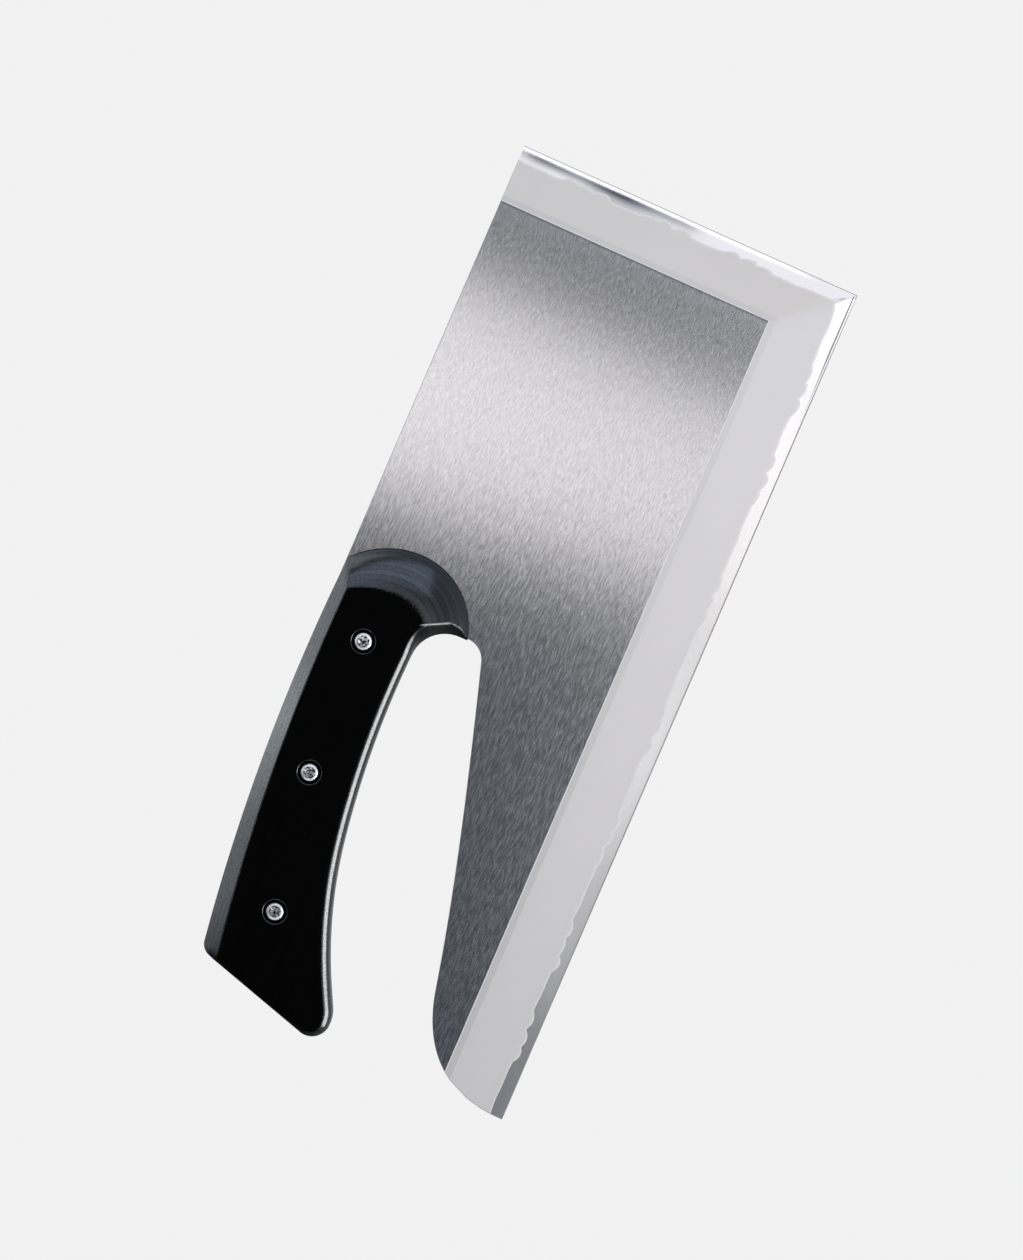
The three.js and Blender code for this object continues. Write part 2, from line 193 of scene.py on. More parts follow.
fingerRuns, buttRun, cornerRun, backCentre, backFrom, notchHeight = handleOutline()


def backRun(endX, inset=0.0):
    radius = handle["backRadius"]
    end = math.acos((endX - backCentre[0]) / (radius - inset))
    return ("back", backCentre, radius, backFrom, end - backFrom, 1)


noseScrewX = handle["gap"] - handle["noseScrew"][0]
rearScrewX = handle["rearScrew"][0]
screwPlaces = {
    "nose": (noseScrewX, top - handle["noseScrew"][1]),
    "middle": ((noseScrewX + rearScrewX) / 2, top - handle["middleDrop"]),
    "rear": (rearScrewX, top - handle["rearScrew"][1]),
}


# Mesh helpers
def sampled(run, step, inset=0.0):
    count = max(2, int(round(runLength(run) / step)))
    return [onRun(run, i / count, inset) for i in range(count + 1)]


def joined(parts, least=1e-4):
    out = []
    for part in parts:
        for p in part:
            if not out or np.linalg.norm(np.array(p) - out[-1]) > least:
                out.append(np.array(p, dtype=float))
    return out


def mixed(a, b, share):
    return tuple(p + (q - p) * share for p, q in zip(a, b))


def bezier(a, b, c, d, steps):
    pts = [np.array(p, dtype=float) for p in (a, b, c, d)]
    out = []
    for i in range(steps + 1):
        t = i / steps
        s = 1 - t
        out.append(s ** 3 * pts[0] + 3 * s * s * t * pts[1] + 3 * s * t * t * pts[2] + t ** 3 * pts[3])
    return out


mitreLeast = 0.3  # holds back the reach of sharp corners


def drawnIn(loop, inset):
    # each corner of a closed anticlockwise outline moves in along its mitre
    pts = np.array([p[:2] for p in loop])
    insets = np.broadcast_to(np.asarray(inset, dtype=float), len(pts))
    ahead = np.roll(pts, -1, axis=0) - pts
    ahead /= np.linalg.norm(ahead, axis=1)[:, None]
    behind = np.roll(ahead, 1, axis=0)
    inA = np.stack([-ahead[:, 1], ahead[:, 0]], axis=1)
    inB = np.stack([-behind[:, 1], behind[:, 0]], axis=1)
    mitre = inA + inB
    mitre /= np.maximum(mitreLeast, 1 + (inA * inB).sum(axis=1))[:, None]
    return pts + mitre * insets[:, None]


def softMin(a, b, blend):
    blend = np.maximum(1e-4, blend)
    h = np.clip(0.5 + 0.5 * (b - a) / blend, 0, 1)
    return b * (1 - h) + a * h - blend * h * (1 - h)


def meshObject(name, mesh):
    data = bpy.data.meshes.new(name)
    mesh.to_mesh(data)
    mesh.free()
    obj = bpy.data.objects.new(name, data)
    bpy.context.scene.collection.objects.link(obj)
    return obj


class Sheet:
    def __init__(self):
        self.mesh = bmesh.new()
        self.floats = {}

    def point(self, x, y, z):
        return self.mesh.verts.new(toRow((x, y, z)))

    def face(self, corners, slot=0):
        corners = [c for i, c in enumerate(corners) if c is not corners[i - 1]]
        if len(corners) < 3:
            return
        f = self.mesh.faces.new(corners)
        f.material_index = slot
        f.smooth = True

    def strip(self, low, high, slot=0, closed=False):
        count = len(low)
        for i in range(count if closed else count - 1):
            n = (i + 1) % count
            self.face((low[i], low[n], high[n], high[i]), slot)

    def fill(self, loops, up, slot=0):
        edges = []
        for loop in loops:
            for a, b in zip(loop, loop[1:] + loop[:1]):
                edges.append(self.mesh.edges.get((a, b)) or self.mesh.edges.new((a, b)))
        made = bmesh.ops.triangle_fill(
            self.mesh, use_beauty=True, use_dissolve=False, edges=edges, normal=(0, 0, up))
        for f in made["geom"]:
            if isinstance(f, bmesh.types.BMFace):
                f.material_index = slot
                f.smooth = False
                f.normal_update()
                if f.normal.z * up < 0:
                    f.normal_flip()

    def ring(self, centre, radius, z, steps, side=1):
        out = []
        for i in range(steps):
            d = direction(side * 2 * math.pi * i / steps)
            out.append(self.point(centre[0] + radius * d[0], centre[1] + radius * d[1], z))
        return out

    def done(self, name, materials, sharpAngle):
        self.mesh.normal_update()
        for e in self.mesh.edges:
            if len(e.link_faces) == 2:
                a, b = e.link_faces
                turned = e.calc_face_angle(0)
                e.smooth = turned < sharpAngle and a.material_index == b.material_index
        self.mesh.verts.index_update()
        marks = {}
        for label, values in self.floats.items():
            marks[label] = {v.index: value for v, value in values.items()}
        obj = meshObject(name, self.mesh)
        for label, values in marks.items():
            layer = obj.data.attributes.new(label, "FLOAT", "POINT")
            for index, value in values.items():
                layer.data[index].value = value
        for m in materials:
            obj.data.materials.append(m)
        return obj


# Node helpers
def setInputs(tree, made, values):
    for key, value in values.items():
        if isinstance(value, bpy.types.NodeSocket):
            tree.links.new(value, made.inputs[key])
        else:
            made.inputs[key].default_value = value


def node(tree, kind, inputs=None, **settings):
    made = tree.nodes.new(kind)
    for key, value in settings.items():
        setattr(made, key, value)
    setInputs(tree, made, inputs or {})
    return made


def calc(tree, operation, *values, clamp=False):
    made = node(tree, "ShaderNodeMath", dict(enumerate(values)), operation=operation, use_clamp=clamp)
    return made.outputs[0]


def vectorCalc(tree, operation, a, b):
    made = node(tree, "ShaderNodeVectorMath", {0: a, 1: b}, operation=operation)
    return made.outputs["Value" if operation == "DOT_PRODUCT" else "Vector"]


def coordinate(tree, vector, axis):
    return node(tree, "ShaderNodeSeparateXYZ", {0: vector}).outputs[axis]


def attribute(tree, name):
    return node(tree, "ShaderNodeAttribute", attribute_name=name).outputs["Fac"]


def noiseOn(tree, vector, scale, detail, roughness=0.5):
    inputs = {"Vector": vector, "Scale": scale, "Detail": detail, "Roughness": roughness}
    return node(tree, "ShaderNodeTexNoise", inputs).outputs["Fac"]


def mixColour(tree, share, a, b):
    return node(tree, "ShaderNodeMix", {0: share, 6: a, 7: b}, data_type="RGBA").outputs[2]


def mixValue(tree, share, a, b):
    return node(tree, "ShaderNodeMix", {0: share, 2: a, 3: b}, data_type="FLOAT").outputs[0]


def ranged(tree, value, ends, results=(0.0, 1.0), curve="LINEAR"):
    # the two ends become the two results, which hold past them
    inputs = {"Value": value, "From Min": ends[0], "From Max": ends[1]}
    inputs.update({"To Min": results[0], "To Max": results[1]})
    return node(tree, "ShaderNodeMapRange", inputs, interpolation_type=curve).outputs[0]


def spread(tree, value, results):
    return ranged(tree, value, (0.0, 1.0), results)


def contrasted(tree, value, reach):
    return ranged(tree, value, (0.5 - reach, 0.5 + reach))


def grey(value, blue=0.0):
    return (value * (1 - blue), value, value * (1 + blue), 1)


def groupTree(name, inputs, outputs):
    tree = bpy.data.node_groups.new(name, "ShaderNodeTree")
    tree.interface.new_socket("Vector", in_out="INPUT", socket_type="NodeSocketVector")
    for label, value in inputs.items():
        socket = tree.interface.new_socket(label, in_out="INPUT", socket_type="NodeSocketFloat")
        socket.default_value = value
    for label in outputs:
        tree.interface.new_socket(label, in_out="OUTPUT", socket_type="NodeSocketFloat")
    return tree, tree.nodes.new("NodeGroupInput").outputs, tree.nodes.new("NodeGroupOutput")


def brushedLines():
    # scratches along x, with their width and length in mm
    tree, given, out = groupTree("brushedLines", {"Line": 0.25, "Length": 6.0}, ("Fine", "Coarse"))
    across = calc(tree, "DIVIDE", 1000.0, given["Line"])
    along = calc(tree, "DIVIDE", 1000.0, given["Length"])
    stretch = node(tree, "ShaderNodeCombineXYZ", {"X": along, "Y": across, "Z": across}).outputs[0]
    for label, share in (("Fine", 1.0), ("Coarse", 0.3)):
        size = node(tree, "ShaderNodeVectorMath", {0: stretch, "Scale": share}, operation="SCALE").outputs[0]
        scaled = vectorCalc(tree, "MULTIPLY", given["Vector"], size)
        tree.links.new(noiseOn(tree, scaled, 1.0, 2.0, 0.6), out.inputs[label])
    return tree


def blastedGrain():
    # even speckle of a blasted or cast surface, with a slow cloud under it
    tree, given, out = groupTree("blastedGrain", {"Grain": 0.3}, ("Speckle", "Cloud"))
    size = calc(tree, "DIVIDE", 1000.0, given["Grain"])
    for label, share, detail in (("Speckle", 1.0, 3.0), ("Cloud", 0.012, 2.0)):
        scale = calc(tree, "MULTIPLY", size, share)
        tree.links.new(noiseOn(tree, given["Vector"], scale, detail), out.inputs[label])
    return tree


linesGroup = brushedLines()
grainGroup = blastedGrain()


def linesOn(tree, spot, line, length):
    inputs = {"Vector": spot, "Line": line, "Length": length}
    return node(tree, "ShaderNodeGroup", inputs, node_tree=linesGroup).outputs


def grainOn(tree, spot, grain):
    return node(tree, "ShaderNodeGroup", {"Vector": spot, "Grain": grain}, node_tree=grainGroup).outputs


def newMaterial(name):
    made = bpy.data.materials.new(name)
    made.use_nodes = True
    tree = made.node_tree
    spot = node(tree, "ShaderNodeTexCoord").outputs["Object"]
    return made, tree, tree.nodes["Principled BSDF"], spot


def surfaceNormal(tree):
    return node(tree, "ShaderNodeNewGeometry").outputs["Normal"]


def bumped(tree, height, strength, distance):
    made = node(tree, "ShaderNodeBump", {"Strength": strength, "Distance": distance, "Height": height})
    return made.outputs[0]


# Finishes. Lines are width and length in mm, grain is mm, "tone" is the mask between dark and
# pale, "rough" a mask and its two values, "bump" a mask, strength and depth. Places are in m.
def plainSteel(name, spec):
    made, tree, shader, spot = newMaterial(name)
    masks = linesOn(tree, spot, *spec["lines"]) if "lines" in spec else grainOn(tree, spot, spec["grain"])
    tone = masks[spec["tone"]]
    if "contrast" in spec:
        tone = contrasted(tree, tone, spec["contrast"])
    base = mixColour(tree, tone, spec["dark"], spec["pale"])
    mask, *results = spec["rough"]
    dull = spread(tree, masks[mask], results)
    setInputs(tree, shader, {"Base Color": base, "Metallic": 1.0, "Roughness": dull})
    if "bump" in spec:
        mask, *size = spec["bump"]
        setInputs(tree, shader, {"Normal": bumped(tree, masks[mask], *size)})
    return made, tree, shader, spot, base, dull


brushed = {
    "lines": (0.27, 2.1),
    "coarse": 0.12,  # share of the coarse lines
    "strokes": (0.46, 3.3),  # longer scratches, more of them towards the heel
    "strokesFrom": (0.07, -0.02),
    "strokesShare": (0.15, 1.0),
    "strength": (0.82, 1.55),
    "contrast": 0.2,
    "dark": (0.41, 0.405, 0.412, 1),
    "pale": (0.80, 0.791, 0.802, 1),
    "rough": (0.17, 0.235),
    "bump": (0.1, 0.00004),
    "anisotropy": 0.82,
    "bevelShadow": grey(0.12, 0.1),  # painted shadow line along the front bevel
    "bevelShadowEnds": (0.0009, 0.0002),
    "bevelShadowShare": 0.55,
}


def steelBrushed():
    b = brushed
    made, tree, shader, spot = newMaterial("brushedSteel")
    lines = linesOn(tree, spot, *b["lines"])
    fine = calc(tree, "MULTIPLY", lines["Fine"], 1 - b["coarse"])
    both = calc(tree, "MULTIPLY_ADD", lines["Coarse"], b["coarse"], fine)
    strokes = linesOn(tree, spot, *b["strokes"])["Fine"]
    behind = ranged(tree, coordinate(tree, spot, "X"), b["strokesFrom"])
    tone = mixValue(tree, spread(tree, behind, b["strokesShare"]), both, strokes)
    tone = calc(tree, "SUBTRACT", contrasted(tree, tone, b["contrast"]), 0.5)
    tone = calc(tree, "MULTIPLY_ADD", tone, spread(tree, behind, b["strength"]), 0.5)
    base = mixColour(tree, tone, b["dark"], b["pale"])
    rake = blade["rake"]
    inward = (-math.cos(rake), math.sin(rake), 0)
    bevelFoot = toRow((blade["edge"] - blade["frontBevel"] / math.cos(rake), 0, 0))
    off = vectorCalc(tree, "DOT_PRODUCT", vectorCalc(tree, "SUBTRACT", spot, bevelFoot), inward)
    # painted shadow: on the front side the flats go dark in a thin line beside the front bevel
    onFront = calc(tree, "GREATER_THAN", coordinate(tree, spot, "Z"), toRow((0, 0, 0))[2])
    bevelShadow = calc(tree, "MULTIPLY", ranged(tree, off, b["bevelShadowEnds"]), onFront)
    setInputs(tree, shader, {
        "Base Color": mixColour(tree, calc(tree, "MULTIPLY", bevelShadow, b["bevelShadowShare"]), base, b["bevelShadow"]),
        "Metallic": 1.0,
        "Roughness": spread(tree, lines["Fine"], b["rough"]),
        "Normal": bumped(tree, both, *b["bump"]),
        "Anisotropic": b["anisotropy"],
        "Tangent": node(tree, "ShaderNodeTangent", direction_type="UV_MAP", uv_map="brush").outputs[0],
    })
    return made


frosted = {
    "grain": 0.25,
    "tone": "Speckle",
    "dark": (0.785, 0.758, 0.746, 1),
    "pale": (0.873, 0.844, 0.832, 1),
    "rough": ("Cloud", 0.43, 0.49),
    "bump": ("Speckle", 0.12, 0.00005),
    "front": (0.85, 0.80, 0.745, 1),  # on the front bevel, warmer: painted to offset the bluish light there
    "frontNormal": (0.02, 0.1),  # the normal's x where that begins and where it is full
    "rim": (1.0, 0.965, 0.94, 1),  # painted highlight along the wavy line
    "waveHighlightShare": 0.8,
    "shade": (0.61, 0.595, 0.583, 1),  # painted shade beside the flat, more towards the heel
    "shadeFrom": (0.03, -0.036),
    "shadeShare": (0.28, 0.5),
}


def steelFrosted():
    f = frosted
    made, tree, shader, spot, base, _ = plainSteel("frostedSteel", f)
    # painted light: faces turned to the front end are warmed to offset the bluish light on them
    ahead = ranged(tree, coordinate(tree, surfaceNormal(tree), "X"), f["frontNormal"])
    base = mixColour(tree, ahead, base, f["front"])
    # painted highlight along the wavy line
    rim = calc(tree, "MULTIPLY", attribute(tree, "waveHighlight"), f["waveHighlightShare"])
    base = mixColour(tree, rim, base, f["rim"])
    # painted shade in a strip beside the flat, stronger towards the heel
    behind = ranged(tree, coordinate(tree, spot, "X"), f["shadeFrom"], f["shadeShare"])
    shade = calc(tree, "MULTIPLY", attribute(tree, "bevelShade"), behind)
    setInputs(tree, shader, {"Base Color": mixColour(tree, shade, base, f["shade"])})
    return made


polished = {
    "grain": 0.6,
    "tone": "Speckle",
    "dark": (0.83, 0.81, 0.807, 1),
    "pale": (0.93, 0.91, 0.905, 1),
    "rough": ("Cloud", 0.12, 0.2),
    "bump": ("Speckle", 0.035, 0.00004),
    "buffedFrom": (0.14, 0.147),  # the front end is smoother
    "buffed": (1.0, 0.32),
}


def steelPolished():
    made, tree, shader, spot, _, dull = plainSteel("polishedSteel", polished)
    ahead = ranged(tree, coordinate(tree, spot, "X"), polished["buffedFrom"])
    dull = calc(tree, "MULTIPLY", dull, spread(tree, ahead, polished["buffed"]))
    setInputs(tree, shader, {"Roughness": dull})
    return made


honed = {
    "lines": (0.15, 20.0),
    "tone": "Coarse",
    "dark": grey(0.5, -0.03),
    "pale": grey(0.7, -0.03),
    "rough": ("Fine", 0.24, 0.36),
    "bump": ("Fine", 0.05, 0.00003),
    "front": (0.27, 0.262, 0.272, 1),  # painted shade towards the front corner
    "frontFrom": (0.095, 0.125),
}


def steelHoned():
    made, tree, shader, spot, base, _ = plainSteel("honedSteel", honed)
    # painted shade: the honed edge darkens towards the front corner
    ahead = ranged(tree, coordinate(tree, spot, "X"), honed["frontFrom"])
    setInputs(tree, shader, {"Base Color": mixColour(tree, ahead, base, honed["front"])})
    return made


plainFinishes = {
    "ridgeSteel": {
        "lines": (0.2, 12.0), "tone": "Coarse",
        "dark": (0.92, 0.905, 0.90, 1), "pale": (1.0, 0.985, 0.98, 1),
        "rough": ("Fine", 0.5, 0.6)},
    "groundSteel": {
        "lines": (0.18, 3.0), "tone": "Coarse",
        "dark": grey(0.5, 0.02), "pale": grey(0.66, 0.02),
        "rough": ("Coarse", 0.3, 0.42), "bump": ("Fine", 0.08, 0.00004)},
    "fastenerSteel": {
        "grain": 0.4, "tone": "Speckle",
        "dark": grey(0.95), "pale": grey(1.0),
        "rough": ("Cloud", 0.36, 0.44), "bump": ("Speckle", 0.06, 0.00005)},
    # painted shade and glints: dark bluish steel with white spots, for the driver's cuts and the crown of
    # each screw head
    "recessShadeSteel": {
        "grain": 1.1, "tone": "Speckle", "contrast": 0.07,
        "dark": (0.008, 0.025, 0.04, 1), "pale": grey(1.0),
        "rough": ("Cloud", 0.28, 0.38), "bump": ("Speckle", 0.1, 0.00008)},
}
laminate = {
    "layer": 0.00105,  # veneer thickness, m
    "drift": (45.0, 0.0005),  # how often and how far the veneers wander
    "dark": grey(0.010, 0.1),  # cut veneers
    "pale": grey(0.030, 0.12),
    "veneerShare": 0.5,  # of the tone, and the grain's
    "grainShare": 0.7,
    "black": grey(0.003),  # glue lines, and painted shade on the dulled places
    "glueFrom": (0.72, 0.95),  # share of half a veneer
    "glueShare": 0.5,
    "glueSink": -0.5,
    "shadeDullShare": 0.8,
    "lines": (0.35, 7.0),
    "speckle": 0.7,
    "contrast": 0.25,
    "face": 0.0012,  # sealed flat face
    "faceTones": (0.5, 1.5),
    "faceFrom": (0.955, 0.968),  # how level the surface is there
    "fringe": 0.03,  # ragged border of the face
    "satin": (0.6, 1.2),
    "veneerGloss": (0.8, 1.05),
    "patch": (110.0, 0.2, (0.02, 0.34)),  # dull glue: size, contrast and amount
    "seam": (0.0017, 0.0022),  # no gloss next to the steel
    "shadeDullGloss": (1.0, 0.06),
    "leaning": ((0.96, 0.88), (0.35, 1.0)),  # less gloss just below the face
    "rough": (0.34, 0.46),
    "specular": 0.02,
    "coatRough": 0.2,
    "coatIor": 1.8,
    "bump": (0.12, 0.00008),
    "ridge": ((141.0, 90.4), (145.8, 81.0)),  # painted highlight between the nose and the finger gap, mm
    "ridgeFade": (1.1, 0.7),  # of half its length
    "ridgeWide": (0.00042, 0.000126),
    "ridgeHighlightTone": 0.5,
    "ridgeGrain": (0.3, 1.0),
}


def ridgeHighlightMask(tree, spot):
    # 1 on a short straight line seen from above, 0 beside it and past its ends
    start, end = (np.array(toRow((*p, 0))) for p in laminate["ridge"])
    halfLength = float(np.linalg.norm(end - start)) / 2
    way = (end - start) / (2 * halfLength)
    out = vectorCalc(tree, "SUBTRACT", spot, tuple((start + end) / 2))
    shares = []
    for turned, ends in (
            ((way[0], way[1], 0), [halfLength * share for share in laminate["ridgeFade"]]),
            ((-way[1], way[0], 0), laminate["ridgeWide"])):
        off = calc(tree, "ABSOLUTE", vectorCalc(tree, "DOT_PRODUCT", out, turned))
        shares.append(ranged(tree, off, ends, curve="SMOOTHSTEP"))
    return calc(tree, "MULTIPLY", *shares)


def blackLaminate():
    m = laminate
    made, tree, shader, spot = newMaterial("blackLaminate")
    height = coordinate(tree, spot, "Z")
    often, far = m["drift"]
    wandered = calc(tree, "MULTIPLY_ADD", noiseOn(tree, spot, often, 1.0), far, height)
    layers = calc(tree, "DIVIDE", wandered, m["layer"])
    tone = node(tree, "ShaderNodeTexWhiteNoise", {"W": calc(tree, "FLOOR", layers)}, noise_dimensions="1D")
    fromMiddle = calc(tree, "ABSOLUTE", calc(tree, "SUBTRACT", calc(tree, "FRACT", layers), 0.5))
    glue = ranged(tree, calc(tree, "MULTIPLY", fromMiddle, 2.0), m["glueFrom"], curve="SMOOTHSTEP")
    lines = linesOn(tree, spot, *m["lines"])

    # cut veneers, and the sealed face with its ragged border
    grain = calc(tree, "MULTIPLY", lines["Fine"], m["grainShare"])
    shade = calc(tree, "MULTIPLY_ADD", tone.outputs["Value"], m["veneerShare"], grain)
    cut = mixColour(tree, shade, m["dark"], m["pale"])
    cut = mixColour(tree, calc(tree, "MULTIPLY", glue, m["glueShare"]), cut, m["black"])
    upright = calc(tree, "ABSOLUTE", coordinate(tree, surfaceNormal(tree), "Z"))
    ragged = calc(tree, "SUBTRACT", upright, m["fringe"] / 2)
    ragged = calc(tree, "MULTIPLY_ADD", contrasted(tree, lines["Fine"], m["contrast"]), m["fringe"], ragged)
    face = ranged(tree, ragged, m["faceFrom"], curve="SMOOTHSTEP")
    sealed = mixColour(tree, lines["Coarse"], *(grey(m["face"] * share) for share in m["faceTones"]))
    shadeDull = attribute(tree, "shadeDull")
    # painted shade: the dulled places go darker
    cut = mixColour(tree, calc(tree, "MULTIPLY", shadeDull, m["shadeDullShare"]), cut, m["black"])
    base = mixColour(tree, face, cut, sealed)
    # painted highlight: a pale line on the crest between the nose and the finger gap
    ridgeHighlight = calc(tree, "MULTIPLY", ridgeHighlightMask(tree, spot), spread(tree, lines["Fine"], m["ridgeGrain"]))
    base = mixColour(tree, ridgeHighlight, base, grey(m["ridgeHighlightTone"]))

    # gloss: speckled, dull at glue lines, by the steel, under the painted shade and just below the face
    speckle = contrasted(tree, grainOn(tree, spot, m["speckle"])["Speckle"], m["contrast"])
    gloss = calc(tree, "MULTIPLY", spread(tree, speckle, m["satin"]), spread(tree, shade, m["veneerGloss"]))
    often, reach, amount = m["patch"]
    patch = contrasted(tree, noiseOn(tree, spot, often, 2.0), reach)
    gloss = calc(tree, "SUBTRACT", gloss, calc(tree, "MULTIPLY", glue, spread(tree, patch, amount)))
    fromSteel = calc(tree, "ABSOLUTE", calc(tree, "SUBTRACT", height, lift / 1000))
    for share in (
            ranged(tree, fromSteel, m["seam"]),
            spread(tree, shadeDull, m["shadeDullGloss"]),
            ranged(tree, upright, *m["leaning"])):
        gloss = calc(tree, "MULTIPLY", gloss, share)
    ripple = calc(tree, "MULTIPLY_ADD", glue, m["glueSink"], lines["Fine"])
    setInputs(tree, shader, {
        "Base Color": base,
        "Roughness": spread(tree, lines["Coarse"], m["rough"]),
        "Specular IOR Level": m["specular"],
        "Normal": bumped(tree, ripple, *m["bump"]),
        "Coat Weight": calc(tree, "MULTIPLY", gloss, calc(tree, "SUBTRACT", 1.0, face), clamp=True),
        "Coat Roughness": m["coatRough"],
        "Coat IOR": m["coatIor"],
    })
    return made


plainSteels = {name: plainSteel(name, spec)[0] for name, spec in plainFinishes.items()}
bladeFinish = [steelBrushed(), steelFrosted(), steelPolished(), steelHoned(),
               plainSteels["ridgeSteel"], plainSteels["groundSteel"]]
brushedSlot, frostedSlot, polishedSlot, honedSlot, ridgeSlot, groundSlot = range(6)
laminateFinish = blackLaminate()
fastenerFinish = [plainSteels["fastenerSteel"], plainSteels["recessShadeSteel"]]
print("finishes made")


# Blade. The bevels are one grid that turns the front corner: columns follow the edge from the
# heel and then the front end, rows go from the edge up to the flat. A row's share is 0 at the
# edge and 1 at the flat.
wave = {
    "edgeDepth": 4.4,
    "frontDepth": 5.0,
    "edgeGroups": (37.0, 70.0, 114.0, 160.0, 200.0, 239.0, 272.0),  # from the front corner
    "frontGroups": (37.0, 68.0, 97.0),  # from the edge
    "spacing": 6.0,
    "lobe": 6.4,
    "height": 1.15,
    "lobePower": 2.2,
    "sizeDrift": (0.22, 2.3, 1.7),  # amount, then its turn from group to group and lobe to lobe
    "placeDrift": (0.5, 1.3, 2.9),
    "ripples": ((0.18, 0.21), (0.1, 0.57)),
    "measuredAt": 0.2,  # share of the bevel
    "cornerShare": 0.05,
    "cornerRadius": 4.0,
    "cornerTurn": (5.0, 6.0),  # from the corner, where the two depths meet, and its fade
    "column": 0.5,
}
polishedRows = 6
highlightRows = ((0.45, 0.55), (0.95, 0.0))  # past the wave in mm, and how bright the painted highlight is
plainRows = ((9.0, 0.0), (14.0, 0.0))  # from the edge in mm, and how shaded
shadeRows = ((21.2, 0.0), (21.8, 0.9), (23.62, 1.0))


def drifted(drift, number, place):
    amount, perGroup, perLobe = drift
    return amount * math.sin(number * perGroup + place * perLobe)


def waveLobes(at, groups):
    height = 0.0
    for number, middle in enumerate(groups):
        for place in (-1, 0, 1):
            size = 1.0 + drifted(wave["sizeDrift"], number, place)
            offset = place * wave["spacing"] + drifted(wave["placeDrift"], number, place)
            away = abs(at - middle - offset) / (wave["lobe"] / 2)
            if away < 1:
                height = max(height, size * (1 - away ** wave["lobePower"]))
    return wave["height"] * height + sum(size * math.sin(at * turn) for size, turn in wave["ripples"])


def heelCurve():
    b = blade
    slope = direction(b["shoulderSlope"])
    start = np.array(b["shoulder"])
    return bezier(start, start - slope * b["shoulderPull"], (0, b["tipPull"]), (0, 0), b["heelSteps"])


